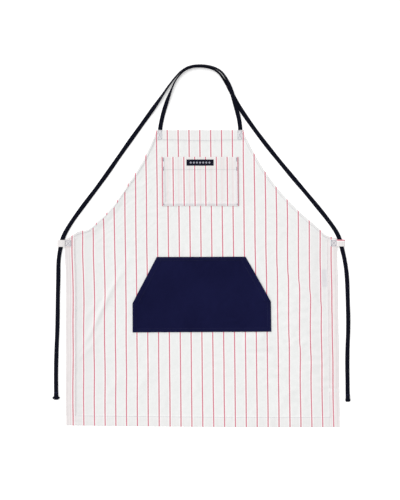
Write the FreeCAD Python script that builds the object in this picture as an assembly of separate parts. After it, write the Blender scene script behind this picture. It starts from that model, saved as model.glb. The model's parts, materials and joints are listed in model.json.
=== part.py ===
"""Cross-back butcher's apron, laid flat and face up on a table.

One cloth panel with turned hems carries a chest pocket, a hand pocket and two side loops.
Two flat braided straps are sewn into the top hem. Each one goes round the neck, down to the
loop on the far side and on through it, and its free tail swings from that loop.

Frame: +X to the wearer's left as seen from the front (right on the page), +Y towards the bib,
+Z up out of the face of the cloth. The origin is the centre of the panel, on the table.
Millimetres throughout.
"""

import FreeCAD, Part

import math
import os

from FreeCAD import Vector

# ---------------------------------------------------------------- driving dimensions
PLY = 0.6  # thickness of one layer of cloth

PANEL_WIDTH = 700.0
PANEL_LENGTH = 762.0
BIB_WIDTH = 222.0
ARMHOLE_DEPTH = 283.0  # from the top edge down to the side corner
ARMHOLE_TOP_LEAN = 21.0  # degrees from upright where the curve leaves the bib
ARMHOLE_TOP_PULL = 130.0  # how far the curve keeps to that line
ARMHOLE_FOOT_RISE = 29.0  # degrees above level where the curve meets the side
ARMHOLE_FOOT_PULL = 110.0

WIDE_HEM = 26.0  # top, side and bottom hems, turned twice
ARMHOLE_HEM = 6.5
HEM_PLIES = 2

CHEST_POCKET_WIDTH = 196.0
CHEST_POCKET_HEIGHT = 126.0
CHEST_POCKET_DROP = 70.0  # from the bib's top edge to the pocket's
CHEST_POCKET_HEM = 32.0
CHEST_POCKET_TURNING = 8.0

LABEL_WIDTH = 70.0
LABEL_HEIGHT = 16.0
LABEL_THICKNESS = 0.4
LABEL_DROP = 6.0  # below the chest pocket's top edge
LABEL_SEAM = 1.5  # from the label's edge to the thread that holds it

HAND_POCKET_WIDTH = 355.0
HAND_POCKET_TOP_WIDTH = 228.0
HAND_POCKET_HEIGHT = 192.0
HAND_POCKET_SIDE = 75.0  # height of the upright sides, below the slanted mouths
HAND_POCKET_DROP = 327.0  # from the bib's top edge to the pocket's
HAND_POCKET_TURNING = 10.0
MOUTH_HEM = 14.0

POCKET_PLIES = 2  # layers turned under each sewn edge, which hold the pocket off the panel
MOUTH_HEM_PLIES = 1  # fewer, so that the mouth stays open

STRAP_WIDTH = 11.0
STRAP_THICKNESS = 3.2
STRAP_INSET = 8.0  # from the bib's corner to the strap's centre line
ANCHOR_LENGTH = 22.0  # sewn-in end, pressed flat inside the top hem
ANCHOR_ROOM = 0.2
CROSSING_ROOM = 3.0  # between one strap and the other, laid over it

LOOP_HEIGHT = 17.5
LOOP_REACH = 20.5  # past the panel's side
LOOP_GRIP = 17.0  # sewn onto the panel
LOOP_PLIES = 2
LOOP_LIFT_RUN = 1.5  # length over which the front leg climbs onto the strap
STRAP_ROOM = 0.15  # free height above and below the strap inside a loop

TAIL_GAP = 0.4  # between the strap's end below a loop and the tail's round end

TIE_FOLD = 18.0  # the tail's end, turned back on itself
TIE_FOLD_THICKNESS = 2.6
TIE_BEND = 2.4  # past the end of the tail
TIE_FLARE_LENGTH = 7.0
LEFT_TIE_FLARE = 21.0  # how wide each bulky end spreads
RIGHT_TIE_FLARE = 13.0

CARE_LABEL_WIDTH = 17.0
CARE_LABEL_HEIGHT = 47.0
CARE_LABEL_THICKNESS = 0.3
CARE_LABEL_DROP = 357.5  # from the bib's top edge to the label's

THREAD_WIDTH = 0.5
THREAD_HEIGHT = 0.25
SEAM_INSET = 1.8  # from a hem's inner edge to its thread
ARMHOLE_SEAM = 5.0  # from the armhole's edge to its thread
POCKET_SEAM = 2.5  # from a pocket's edge to its thread
TWIN_SEAM_GAP = 6.0  # between the two rows round the hand pocket
TACK_WIDTH = 1.6
TACK_LENGTH = 12.0
BOX_MARGIN = 1.6  # from a loop's or anchor's edge to the box stitched inside it

# ---------------------------------------------------------------- levels and edges
PANEL_BOTTOM = HEM_PLIES * PLY
PANEL_TOP = PANEL_BOTTOM + PLY
POCKET_BOTTOM = PANEL_TOP + POCKET_PLIES * PLY
POCKET_TOP = POCKET_BOTTOM + PLY
LOOP_THICKNESS = LOOP_PLIES * PLY
LOOP_ROOM = STRAP_THICKNESS + 2 * STRAP_ROOM

TOP = PANEL_LENGTH / 2
BOTTOM = -PANEL_LENGTH / 2
SIDE = PANEL_WIDTH / 2
CORNER = TOP - ARMHOLE_DEPTH  # where each armhole meets the side edge
LOOP_FOOT = CORNER - LOOP_HEIGHT
CHEST_TOP = TOP - CHEST_POCKET_DROP
CHEST_BOTTOM = CHEST_TOP - CHEST_POCKET_HEIGHT
HAND_TOP = TOP - HAND_POCKET_DROP
HAND_BOTTOM = HAND_TOP - HAND_POCKET_HEIGHT
HAND_SHOULDER = HAND_BOTTOM + HAND_POCKET_SIDE
STRAP_X = BIB_WIDTH / 2 - STRAP_INSET
ON_TABLE = STRAP_THICKNESS / 2
IN_LOOP = LOOP_THICKNESS + STRAP_ROOM + STRAP_THICKNESS / 2
ON_STRAP = STRAP_THICKNESS + CROSSING_ROOM + STRAP_THICKNESS / 2

# ---------------------------------------------------------------- routes of the straps
# Centre lines, from the top hem up round the neck and down to the loop on the far side.
# The left loop's strap lies on the other one all round the neck.
RIGHT_STRAP_ROUTE = [
    (-STRAP_X, TOP, ON_TABLE), (-STRAP_X, 404.0, ON_TABLE), (-93.5, 445.0, ON_TABLE),
    (-81.0, 481.0, ON_TABLE), (-62.0, 516.0, ON_TABLE), (-31.0, 543.5, ON_TABLE),
    (13.0, 549.5, ON_TABLE), (52.0, 529.0, ON_TABLE), (74.0, 486.0, ON_TABLE),
    (107.5, 430.0, ON_TABLE), (155.0, 364.0, ON_TABLE), (217.0, 286.0, ON_TABLE),
    (286.0, 204.5, ON_TABLE), (331.5, 149.0, ON_TABLE), (356.5, 111.0, IN_LOOP),
    (361.0, 78.0, IN_LOOP),
]
LEFT_STRAP_ROUTE = [
    (STRAP_X, TOP, ON_TABLE), (STRAP_X, 402.0, ON_TABLE), (94.0, 440.0, 7.0),
    (84.5, 476.0, ON_STRAP), (71.0, 511.0, ON_STRAP), (42.0, 542.0, ON_STRAP),
    (0.0, 554.0, ON_STRAP), (-44.0, 545.5, ON_STRAP), (-81.0, 506.0, 7.0),
    (-111.5, 455.0, ON_TABLE), (-153.0, 393.5, ON_TABLE), (-196.0, 336.0, ON_TABLE),
    (-255.0, 250.5, ON_TABLE), (-303.0, 188.0, ON_TABLE), (-335.0, 145.0, ON_TABLE),
    (-356.5, 107.0, IN_LOOP), (-361.0, 78.0, IN_LOOP),
]
# Below each loop, from the pivot that the tail swings about down to its folded end.
RIGHT_TAIL_ROUTE = [
    (367.5, 41.0, ON_TABLE), (373.0, 1.0, ON_TABLE), (374.0, -55.0, ON_TABLE),
    (376.0, -120.0, ON_TABLE), (372.5, -200.0, ON_TABLE), (374.0, -270.0, ON_TABLE),
    (374.5, -316.0, ON_TABLE),
]
LEFT_TAIL_ROUTE = [
    (-368.0, 45.0, ON_TABLE), (-368.5, 5.0, ON_TABLE), (-370.5, -50.0, ON_TABLE),
    (-371.0, -120.0, ON_TABLE), (-375.0, -200.0, ON_TABLE), (-376.0, -268.0, ON_TABLE),
    (-375.5, -311.5, ON_TABLE),
]

os.makedirs("parts", exist_ok=True)


# ---------------------------------------------------------------- shared makers
def save(name, shape):
    solids = shape.Solids
    assert solids and all(s.isValid() and s.Volume > 0 for s in solids), name
    (solids[0] if len(solids) == 1 else Part.makeCompound(solids)).exportStep(f"parts/{name}.step")
    return shape


def block(x0, x1, y0, y1, z0, height):
    return Part.makeBox(x1 - x0, y1 - y0, height, Vector(x0, y0, z0))


def prism(edges, z0, height):
    """The area inside closed edges drawn at zero height, as a slab."""
    slab = Part.Face(Part.Wire(edges)).extrude(Vector(0, 0, height))
    slab.translate(Vector(0, 0, z0))
    return slab


def polygon(points, z0, height):
    corners = [Vector(x, y, 0) for x, y in points]
    return prism([Part.makeLine(a, b) for a, b in zip(corners, corners[1:] + corners[:1])], z0, height)


def both_sides(points):
    """Points on the right, with their mirror images on the left."""
    return points + [(-x, y) for x, y in reversed(points)]


def mirrored(shape):
    return shape.mirror(Vector(0, 0, 0), Vector(1, 0, 0))


def thread(start, end, z0, width=THREAD_WIDTH):
    """A straight run of sewing thread lying on a surface, between two points of the plan."""
    (x0, y0), (x1, y1) = start, end
    run = math.hypot(x1 - x0, y1 - y0)
    bar = Part.makeBox(run, width, THREAD_HEIGHT, Vector(0, -width / 2, z0))
    bar.rotate(Vector(0, 0, 0), Vector(0, 0, 1), math.degrees(math.atan2(y1 - y0, x1 - x0)))
    bar.translate(Vector(x0, y0, 0))
    return bar


def joined(pieces):
    shape = pieces[0].fuse(pieces[1:]) if len(pieces) > 1 else pieces[0]
    return shape.removeSplitter()


def boxed_cross(x0, x1, y0, y1, z0):
    """A box of stitching with a cross in it."""
    corners = [(x0, y0), (x1, y0), (x1, y1), (x0, y1)]
    sides = [thread(a, b, z0) for a, b in zip(corners, corners[1:] + corners[:1])]
    crosses = [thread(corners[0], corners[2], z0), thread(corners[1], corners[3], z0)]
    return joined(sides + crosses)


# ---------------------------------------------------------------- panel and hems
def armhole():
    """The right armhole's edge, from the bib's corner down to the side."""
    lean, rise = math.radians(ARMHOLE_TOP_LEAN), math.radians(ARMHOLE_FOOT_RISE)
    start, end = Vector(BIB_WIDTH / 2, TOP, 0), Vector(SIDE, CORNER, 0)
    curve = Part.BezierCurve()
    curve.setPoles([
        start,
        start + Vector(math.sin(lean), -math.cos(lean), 0) * ARMHOLE_TOP_PULL,
        end + Vector(-math.cos(rise), math.sin(rise), 0) * ARMHOLE_FOOT_PULL,
        end,
    ])
    return curve


def armhole_inset(distance):
    """A curve that keeps a distance inside the right armhole's edge."""
    curve, count = armhole(), 12
    points = []
    for i in range(count + 1):
        along = curve.tangent(i / count)[0]
        points.append(curve.value(i / count) + Vector(along.y, -along.x, 0) * distance)
    inside = Part.BSplineCurve()
    inside.interpolate(points)
    return inside


def armhole_strip(near, far, z0, height):
    """A band that follows the right armhole, between two distances inside its edge."""
    outer = armhole_inset(near) if near else armhole()
    inner = armhole_inset(far)
    ends = [Part.makeLine(c(outer), c(inner)) for c in (
        lambda curve: curve.value(curve.FirstParameter),
        lambda curve: curve.value(curve.LastParameter),
    )]
    return prism([outer.toShape(), ends[1], inner.toShape(), ends[0]], z0, height)


def panel_slab(z0, height):
    right = armhole().toShape()
    left = mirrored(right)
    lines = [
        Part.makeLine(Vector(-BIB_WIDTH / 2, TOP, 0), Vector(BIB_WIDTH / 2, TOP, 0)),
        Part.makeLine(Vector(SIDE, CORNER, 0), Vector(SIDE, BOTTOM, 0)),
        Part.makeLine(Vector(SIDE, BOTTOM, 0), Vector(-SIDE, BOTTOM, 0)),
        Part.makeLine(Vector(-SIDE, BOTTOM, 0), Vector(-SIDE, CORNER, 0)),
    ]
    return prism([lines[0], right, lines[1], lines[2], lines[3], left], z0, height)


def anchor_slab(side, room=0.0):
    x = side * STRAP_X
    half = STRAP_WIDTH / 2 + room
    return block(x - half, x + half, TOP - ANCHOR_LENGTH - room, TOP, PANEL_BOTTOM - PLY, PLY)


def loop_grip_slab(side):
    """The space that a side loop's back leg takes under the panel."""
    x0, x1 = sorted((side * (SIDE - LOOP_GRIP), side * SIDE))
    return block(x0, x1, LOOP_FOOT, CORNER, 0, PANEL_BOTTOM)


def make_panel():
    save("apron_panel", panel_slab(PANEL_BOTTOM, PLY))


def make_hems():
    under = panel_slab(0, PANEL_BOTTOM)
    top = under.common(block(-SIDE, SIDE, TOP - WIDE_HEM, TOP, 0, PANEL_BOTTOM))
    for side in (-1, 1):
        top = top.cut(anchor_slab(side, ANCHOR_ROOM))
        save(f"strap_anchor_{'left' if side < 0 else 'right'}", anchor_slab(side))
    save("bib_top_hem", top)
    save("bottom_hem", block(-SIDE, SIDE, BOTTOM, BOTTOM + WIDE_HEM, 0, PANEL_BOTTOM))

    armhole_hem = armhole_strip(0, ARMHOLE_HEM, 0, PANEL_BOTTOM)
    armhole_hem = armhole_hem.cut(block(-SIDE, SIDE, TOP - WIDE_HEM, TOP, 0, PANEL_BOTTOM))
    armhole_hem = armhole_hem.cut(loop_grip_slab(1))
    save("armhole_hem_right", armhole_hem)
    save("armhole_hem_left", mirrored(armhole_hem))

    side_hem = under.common(block(SIDE - WIDE_HEM, SIDE, BOTTOM + WIDE_HEM, TOP, 0, PANEL_BOTTOM))
    side_hem = side_hem.cut(armhole_strip(0, ARMHOLE_HEM, 0, PANEL_BOTTOM)).cut(loop_grip_slab(1))
    side_hem = max(side_hem.Solids, key=lambda solid: solid.Volume)
    save("side_hem_right", side_hem)
    save("side_hem_left", mirrored(side_hem))


def make_care_label():
    x1 = SIDE - WIDE_HEM
    y1 = TOP - CARE_LABEL_DROP
    save("care_label", block(
        x1 - CARE_LABEL_WIDTH, x1, y1 - CARE_LABEL_HEIGHT, y1,
        PANEL_BOTTOM - CARE_LABEL_THICKNESS, CARE_LABEL_THICKNESS,
    ))


# ---------------------------------------------------------------- pockets
def make_chest_pocket():
    half = CHEST_POCKET_WIDTH / 2
    inner = half - CHEST_POCKET_TURNING
    under = POCKET_PLIES * PLY
    save("chest_pocket", block(-half, half, CHEST_BOTTOM, CHEST_TOP, POCKET_BOTTOM, PLY))
    save("chest_pocket_top_hem", block(
        -inner, inner, CHEST_TOP - CHEST_POCKET_HEM, CHEST_TOP,
        POCKET_BOTTOM - MOUTH_HEM_PLIES * PLY, MOUTH_HEM_PLIES * PLY,
    ))
    turning = block(inner, half, CHEST_BOTTOM, CHEST_TOP, PANEL_TOP, under)
    save("chest_pocket_turning_right", turning)
    save("chest_pocket_turning_left", mirrored(turning))
    save("chest_pocket_turning_bottom", block(
        -inner, inner, CHEST_BOTTOM, CHEST_BOTTOM + CHEST_POCKET_TURNING, PANEL_TOP, under,
    ))
    label_top = CHEST_TOP - LABEL_DROP
    save("woven_label", block(
        -LABEL_WIDTH / 2, LABEL_WIDTH / 2, label_top - LABEL_HEIGHT, label_top,
        POCKET_TOP, LABEL_THICKNESS,
    ))


def hand_pocket_outline(z0, height):
    return polygon(both_sides([
        (HAND_POCKET_TOP_WIDTH / 2, HAND_TOP),
        (HAND_POCKET_WIDTH / 2, HAND_SHOULDER),
        (HAND_POCKET_WIDTH / 2, HAND_BOTTOM),
    ]), z0, height)


def mouth_points(near, far):
    """The corners of a band along the right mouth, between two distances inside its edge."""
    top = Vector(HAND_POCKET_TOP_WIDTH / 2, HAND_TOP, 0)
    foot = Vector(HAND_POCKET_WIDTH / 2, HAND_SHOULDER, 0)
    along = (foot - top).normalize()
    inwards = Vector(along.y, -along.x, 0)
    ends = [top + inwards * near, foot + inwards * near, foot + inwards * far, top + inwards * far]
    return [(p.x, p.y) for p in ends], along


def make_hand_pocket():
    half = HAND_POCKET_WIDTH / 2
    inner = half - HAND_POCKET_TURNING
    under = POCKET_PLIES * PLY
    outline = hand_pocket_outline(PANEL_TOP, under)
    save("hand_pocket", hand_pocket_outline(POCKET_BOTTOM, PLY))

    top_band = block(-half, half, HAND_TOP - HAND_POCKET_TURNING, HAND_TOP, PANEL_TOP, under)
    save("hand_pocket_turning_top", outline.common(top_band))
    bottom_edge = HAND_BOTTOM + HAND_POCKET_TURNING
    save("hand_pocket_turning_bottom", block(-half, half, HAND_BOTTOM, bottom_edge, PANEL_TOP, under))
    side_band = block(inner, half, bottom_edge, HAND_SHOULDER, PANEL_TOP, under)
    save("hand_pocket_turning_right", side_band)
    save("hand_pocket_turning_left", mirrored(side_band))

    corners, _ = mouth_points(0, MOUTH_HEM)
    hem_bottom = POCKET_BOTTOM - MOUTH_HEM_PLIES * PLY
    hem = polygon(corners, hem_bottom, MOUTH_HEM_PLIES * PLY)
    hem = hem.cut(block(-half, half, HAND_TOP - HAND_POCKET_TURNING, HAND_TOP, PANEL_TOP, under))
    hem = hem.cut(block(inner, half, BOTTOM, HAND_SHOULDER, PANEL_TOP, under))
    save("hand_pocket_mouth_hem_right", hem)
    save("hand_pocket_mouth_hem_left", mirrored(hem))


# ---------------------------------------------------------------- side loops
def loop_profile(grow):
    """Half-open outline of the right loop in X and Z: its inner face, or its outer face if grown."""
    bend = LOOP_ROOM / 2 + grow
    bend_x = SIDE + LOOP_REACH - LOOP_THICKNESS - LOOP_ROOM / 2
    middle = LOOP_THICKNESS + LOOP_ROOM / 2
    slope = math.atan2(LOOP_ROOM - PLY, LOOP_LIFT_RUN)
    lift_x = SIDE - grow * math.tan(slope / 2)
    flat = [Vector(SIDE - LOOP_GRIP, 0, PANEL_TOP + grow), Vector(lift_x, 0, PANEL_TOP + grow)]
    raised = Vector(lift_x + LOOP_LIFT_RUN, 0, middle + bend)
    back = Vector(SIDE - LOOP_GRIP, 0, middle - bend)
    arc = Part.Arc(
        Vector(bend_x, 0, middle + bend), Vector(bend_x + bend, 0, middle), Vector(bend_x, 0, middle - bend)
    ).toShape()
    return flat, raised, Vector(bend_x, 0, middle + bend), arc, Vector(bend_x, 0, middle - bend), back


def make_side_loops():
    edges, ends = [], []
    for grow in (0, LOOP_THICKNESS):
        flat, raised, over, arc, round_end, back = loop_profile(grow)
        edges += [
            Part.makeLine(flat[0], flat[1]), Part.makeLine(flat[1], raised),
            Part.makeLine(raised, over), arc, Part.makeLine(round_end, back),
        ]
        ends.append((flat[0], back))
    edges.append(Part.makeLine(ends[0][0], ends[1][0]))
    edges.append(Part.makeLine(ends[0][1], ends[1][1]))
    loop = Part.Face(Part.Wire(Part.__sortEdges__(edges))).extrude(Vector(0, LOOP_HEIGHT, 0))
    loop.translate(Vector(0, LOOP_FOOT, 0))
    save("side_loop_right", loop)
    save("side_loop_left", mirrored(loop))


# ---------------------------------------------------------------- straps
def rounded_path(name, route):
    """Straight runs joined by tangent arcs, each as large as its two runs allow."""
    points = [Vector(*p) for p in route]
    edges, radii, at = [], [], points[0]
    for before, corner, after in zip(points, points[1:], points[2:]):
        back, on = (before - corner), (after - corner)
        reach = 0.45 * min(back.Length, on.Length)
        back.normalize()
        on.normalize()
        half = back.getAngle(on) / 2
        radius = reach * math.tan(half)
        middle = corner + (back + on).normalize() * (reach / math.cos(half) - radius)
        arc_start, arc_end = corner + back * reach, corner + on * reach
        edges.append(Part.makeLine(at, arc_start))
        edges.append(Part.Arc(arc_start, middle, arc_end).toShape())
        radii.append(radius)
        at = arc_end
    edges.append(Part.makeLine(at, points[-1]))
    print(f"{name}: smallest bend {min(radii):.0f} mm")
    return Part.Wire(edges)


def flat_braid(name, route):
    """A flat strap that lies level along a route."""
    path = rounded_path(name, route)
    start, second = Vector(*route[0]), Vector(*route[1])
    across = (second - start).cross(Vector(0, 0, 1)).normalize() * (STRAP_WIDTH / 2)
    upright = Vector(0, 0, STRAP_THICKNESS / 2)
    corners = [start + across + upright, start - across + upright,
               start - across - upright, start + across - upright]
    sweep = Part.BRepOffsetAPI.MakePipeShell(path)
    sweep.setBiNormalMode(Vector(0, 0, 1))
    sweep.add(Part.makePolygon(corners + corners[:1]))
    sweep.build()
    sweep.makeSolid()
    braid = sweep.shape()
    plain = STRAP_WIDTH * STRAP_THICKNESS * path.Length
    print(f"{name}: length {path.Length:.0f} mm, volume share {braid.Volume / plain:.3f}")
    return braid


def tail_pivot(strap_route):
    """The middle of a tail's round end, just clear of the strap's end below the loop."""
    before, end = Vector(*strap_route[-2]), Vector(*strap_route[-1])
    return end + (end - before).normalize() * (STRAP_WIDTH / 2 + TAIL_GAP)


def make_tail(side_name, strap_route, tail_route):
    pivot = tail_pivot(strap_route)
    print(f"{side_name} tail swings about x {pivot.x:.2f}, y {pivot.y:.2f}")
    tail = flat_braid(f"{side_name}_strap_tail", [tuple(pivot)] + tail_route)
    round_end = Part.makeCylinder(
        STRAP_WIDTH / 2, STRAP_THICKNESS, pivot - Vector(0, 0, STRAP_THICKNESS / 2)
    )
    save(f"{side_name}_strap_tail", tail.fuse(round_end).removeSplitter())


def make_tie_end(side_name, route, flare):
    """The tail's end turned back over itself, with a bulky bend that spreads at the tip."""
    before, tip = Vector(*route[-2]), Vector(*route[-1])
    half, wide = STRAP_WIDTH / 2, flare / 2
    cap = polygon([
        (-half, TIE_FOLD), (half, TIE_FOLD), (half, TIE_FLARE_LENGTH), (wide, TIE_FLARE_LENGTH / 2),
        (half, -TIE_BEND), (-half, -TIE_BEND), (-wide, TIE_FLARE_LENGTH / 2), (-half, TIE_FLARE_LENGTH),
    ], STRAP_THICKNESS, TIE_FOLD_THICKNESS)
    bend = block(-half, half, -TIE_BEND, 0, 0, STRAP_THICKNESS)
    end = cap.fuse(bend).removeSplitter()
    bar = thread((-half + 1, TIE_FOLD - 2), (half - 1, TIE_FOLD - 2),
                 STRAP_THICKNESS + TIE_FOLD_THICKNESS, TACK_WIDTH)
    turn = math.degrees(math.atan2(tip.x - before.x, before.y - tip.y))
    for name, shape in ((f"{side_name}_tie_end", end), (f"{side_name}_tie_end_tack", bar)):
        shape.rotate(Vector(0, 0, 0), Vector(0, 0, 1), turn)
        shape.translate(Vector(tip.x, tip.y, 0))
        save(name, shape)


def make_straps():
    save("right_strap", flat_braid("right_strap", RIGHT_STRAP_ROUTE))
    save("left_strap", flat_braid("left_strap", LEFT_STRAP_ROUTE))
    make_tail("right", RIGHT_STRAP_ROUTE, RIGHT_TAIL_ROUTE)
    make_tail("left", LEFT_STRAP_ROUTE, LEFT_TAIL_ROUTE)
    make_tie_end("right", RIGHT_TAIL_ROUTE, RIGHT_TIE_FLARE)
    make_tie_end("left", LEFT_TAIL_ROUTE, LEFT_TIE_FLARE)


# ---------------------------------------------------------------- sewing thread
def make_hem_seams():
    seam = WIDE_HEM - SEAM_INSET
    top_seam_y = TOP - seam
    half = BIB_WIDTH / 2
    under_seam = panel_slab(PANEL_TOP, THREAD_HEIGHT)
    save("seam_bib_hem", thread((-SIDE, top_seam_y), (SIDE, top_seam_y), PANEL_TOP).common(under_seam))
    save("seam_bottom_hem", thread((-SIDE + seam, BOTTOM + seam), (SIDE - seam, BOTTOM + seam), PANEL_TOP))
    side_top = CORNER
    side = thread((SIDE - seam, BOTTOM + seam + THREAD_WIDTH), (SIDE - seam, side_top), PANEL_TOP)
    save("seam_side_hem_right", side)
    save("seam_side_hem_left", mirrored(side))
    curve = armhole_strip(ARMHOLE_SEAM, ARMHOLE_SEAM + THREAD_WIDTH, PANEL_TOP, THREAD_HEIGHT)
    curve = curve.cut(block(-half - SIDE, SIDE, top_seam_y - THREAD_WIDTH, TOP, PANEL_TOP, THREAD_HEIGHT))
    curve = curve.cut(block(SIDE - LOOP_GRIP, SIDE, LOOP_FOOT, CORNER, PANEL_TOP, THREAD_HEIGHT))
    save("seam_armhole_right", curve)
    save("seam_armhole_left", mirrored(curve))


def make_pocket_seams():
    half = CHEST_POCKET_WIDTH / 2 - POCKET_SEAM
    foot = CHEST_BOTTOM + POCKET_SEAM
    hem_y = CHEST_TOP - CHEST_POCKET_HEM
    label_foot = CHEST_TOP - LABEL_DROP - LABEL_HEIGHT
    label_half = LABEL_WIDTH / 2 - LABEL_SEAM
    save("seam_chest_pocket", joined([
        thread((-half, CHEST_TOP), (-half, foot), POCKET_TOP),
        thread((half, CHEST_TOP), (half, foot), POCKET_TOP),
        thread((-half, foot), (half, foot), POCKET_TOP),
        thread((-half, hem_y), (half, hem_y), POCKET_TOP),
    ]))
    tack = thread((half - TACK_WIDTH, CHEST_TOP), (half - TACK_WIDTH, CHEST_TOP - TACK_LENGTH),
                  POCKET_TOP, TACK_WIDTH)
    save("tacks_chest_pocket", Part.makeCompound([tack, mirrored(tack)]))
    label_z = POCKET_TOP + LABEL_THICKNESS
    label_ends = [thread((side * label_half, label_foot + LABEL_SEAM),
                         (side * label_half, label_foot + LABEL_HEIGHT - LABEL_SEAM), label_z)
                  for side in (-1, 1)]
    save("seam_woven_label", Part.makeCompound(label_ends))

    rows = []
    for inset in (POCKET_SEAM, POCKET_SEAM + TWIN_SEAM_GAP):
        half = HAND_POCKET_WIDTH / 2 - inset
        foot = HAND_BOTTOM + inset
        head = HAND_TOP - inset
        rows += [thread((-half, foot), (half, foot), POCKET_TOP)]
        rows += [thread((x, foot), (x, HAND_SHOULDER), POCKET_TOP) for x in (-half, half)]
        rows += [thread((-HAND_POCKET_TOP_WIDTH / 2, head), (HAND_POCKET_TOP_WIDTH / 2, head), POCKET_TOP)]
    sewn = joined(rows)
    save("seam_hand_pocket", sewn)
    corners, along = mouth_points(MOUTH_HEM - SEAM_INSET, MOUTH_HEM)
    (x0, y0), (x1, y1) = corners[0], corners[1]
    mouth = thread((x0, y0), (x1, y1), POCKET_TOP).cut(sewn)
    mouth = max(mouth.Solids, key=lambda solid: solid.Volume)
    save("seam_hand_pocket_mouths", Part.makeCompound([mouth, mirrored(mouth)]))


def make_box_stitches():
    box_top = CORNER - BOX_MARGIN
    loop_box = boxed_cross(SIDE - LOOP_GRIP + BOX_MARGIN, SIDE - BOX_MARGIN,
                           LOOP_FOOT + BOX_MARGIN, box_top, PANEL_TOP + LOOP_THICKNESS)
    save("box_stitch_loop_right", loop_box)
    save("box_stitch_loop_left", mirrored(loop_box))
    foot = TOP - WIDE_HEM + SEAM_INSET + 2 * THREAD_WIDTH
    half = STRAP_WIDTH / 2 - THREAD_WIDTH
    anchor_box = boxed_cross(STRAP_X - half, STRAP_X + half, foot, TOP - BOX_MARGIN, PANEL_TOP)
    save("box_stitch_anchor_right", anchor_box)
    save("box_stitch_anchor_left", mirrored(anchor_box))


make_panel()
make_hems()
make_care_label()
make_chest_pocket()
make_hand_pocket()
make_side_loops()
make_straps()
make_hem_seams()
make_pocket_seams()
make_box_stitches()
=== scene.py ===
"""Looks of the cross-back butcher's apron: drooped cloth, turned hems, stitches and braided straps.

Metres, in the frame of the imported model: +Z is up out of the cloth, +Y towards the bib, and the
apron lies on a table. The panel and what is sewn flat on it are drawn as places in the plan with a
height above the cloth, and lay() then puts them on the settled panel. The straps and the side
loops are drawn where they lie.
"""

import json
import math

import bpy
import numpy as np
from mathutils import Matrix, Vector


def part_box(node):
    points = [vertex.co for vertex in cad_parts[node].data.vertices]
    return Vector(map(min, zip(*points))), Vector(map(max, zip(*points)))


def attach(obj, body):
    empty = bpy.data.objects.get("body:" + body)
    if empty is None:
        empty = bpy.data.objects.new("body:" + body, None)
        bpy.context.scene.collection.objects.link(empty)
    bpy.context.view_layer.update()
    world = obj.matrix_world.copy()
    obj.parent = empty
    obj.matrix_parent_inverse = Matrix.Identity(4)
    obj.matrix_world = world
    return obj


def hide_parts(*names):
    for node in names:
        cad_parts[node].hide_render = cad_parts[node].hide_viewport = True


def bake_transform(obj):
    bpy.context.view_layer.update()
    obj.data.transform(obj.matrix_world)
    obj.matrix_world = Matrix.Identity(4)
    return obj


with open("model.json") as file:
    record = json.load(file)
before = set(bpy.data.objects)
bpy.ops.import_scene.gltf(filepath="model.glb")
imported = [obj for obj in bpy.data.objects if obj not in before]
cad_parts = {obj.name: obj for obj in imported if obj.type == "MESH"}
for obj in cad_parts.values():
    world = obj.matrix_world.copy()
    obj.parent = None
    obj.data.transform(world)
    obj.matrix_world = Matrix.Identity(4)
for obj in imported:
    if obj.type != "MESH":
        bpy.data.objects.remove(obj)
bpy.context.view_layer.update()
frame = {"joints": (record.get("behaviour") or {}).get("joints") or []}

MM = 0.001
bpy.ops.object.select_all(action="DESELECT")

# ---------------------------------------------------------------- sizes of the cloth
PANEL_LOW, PANEL_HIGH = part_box("apron_panel")
SIDE = PANEL_HIGH.x
TOP = PANEL_HIGH.y
BOTTOM = PANEL_LOW.y
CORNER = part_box("side_loop_right")[1].y  # where an armhole meets the side
BIB_HALF = 111 * MM
ARMHOLE_LEAN, ARMHOLE_LEAN_PULL = math.radians(21), 130 * MM
ARMHOLE_RISE, ARMHOLE_RISE_PULL = math.radians(29), 110 * MM

PLY = 0.6 * MM
FOLD = 2 * PLY  # two more plies under the cloth, as in every hem and sewn pocket edge
WIDE_HEM = 26 * MM
ARMHOLE_HEM = 6.5 * MM
SEAM_INSET = 1.8 * MM
ARMHOLE_SEAM = 5 * MM
STRIPE_PITCH = 27.9 * MM
STITCH_PITCH = 3.1 * MM
THREAD = 0.55 * MM

CHEST_LOW, CHEST_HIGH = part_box("chest_pocket")
HAND_LOW, HAND_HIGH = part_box("hand_pocket")
HAND_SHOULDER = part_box("hand_pocket_turning_right")[1].y
HAND_TOP_HALF = 114 * MM
CHEST_HEM = 32 * MM
POCKET_TURNING = 8 * MM
POCKET_SEAM = 2.5 * MM
TWIN_SEAM_GAP = 6 * MM
MOUTH_HEM = 14 * MM
LABEL_LOW, LABEL_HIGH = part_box("woven_label")
CARE_LOW, CARE_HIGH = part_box("care_label")

BRAID_WIDTH = 11 * MM
BRAID_THICKNESS = 3.2 * MM
STRAP_END_X = 103 * MM  # from the middle to each strap's end in the top hem
TABLE_DROP = 0.3 * MM  # the table's top is this far below the cloth's own zero height


# ---------------------------------------------------------------- outline of the panel
def armhole_points(count=240):
    """Points on the right armhole's edge, from the bib's corner down to the side."""
    start = np.array([BIB_HALF, TOP])
    end = np.array([SIDE, CORNER])
    poles = [
        start,
        start + ARMHOLE_LEAN_PULL * np.array([math.sin(ARMHOLE_LEAN), -math.cos(ARMHOLE_LEAN)]),
        end + ARMHOLE_RISE_PULL * np.array([-math.cos(ARMHOLE_RISE), math.sin(ARMHOLE_RISE)]),
        end,
    ]
    t = np.linspace(0, 1, count)[:, None]
    weights = [(1 - t) ** 3, 3 * t * (1 - t) ** 2, 3 * t ** 2 * (1 - t), t ** 3]
    return sum(weight * pole for weight, pole in zip(weights, poles))


ARMHOLE = armhole_points()


def half_width(v):
    """Half the panel's width at a height on the plan."""
    return np.interp(v, ARMHOLE[::-1, 1], ARMHOLE[::-1, 0])


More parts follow.
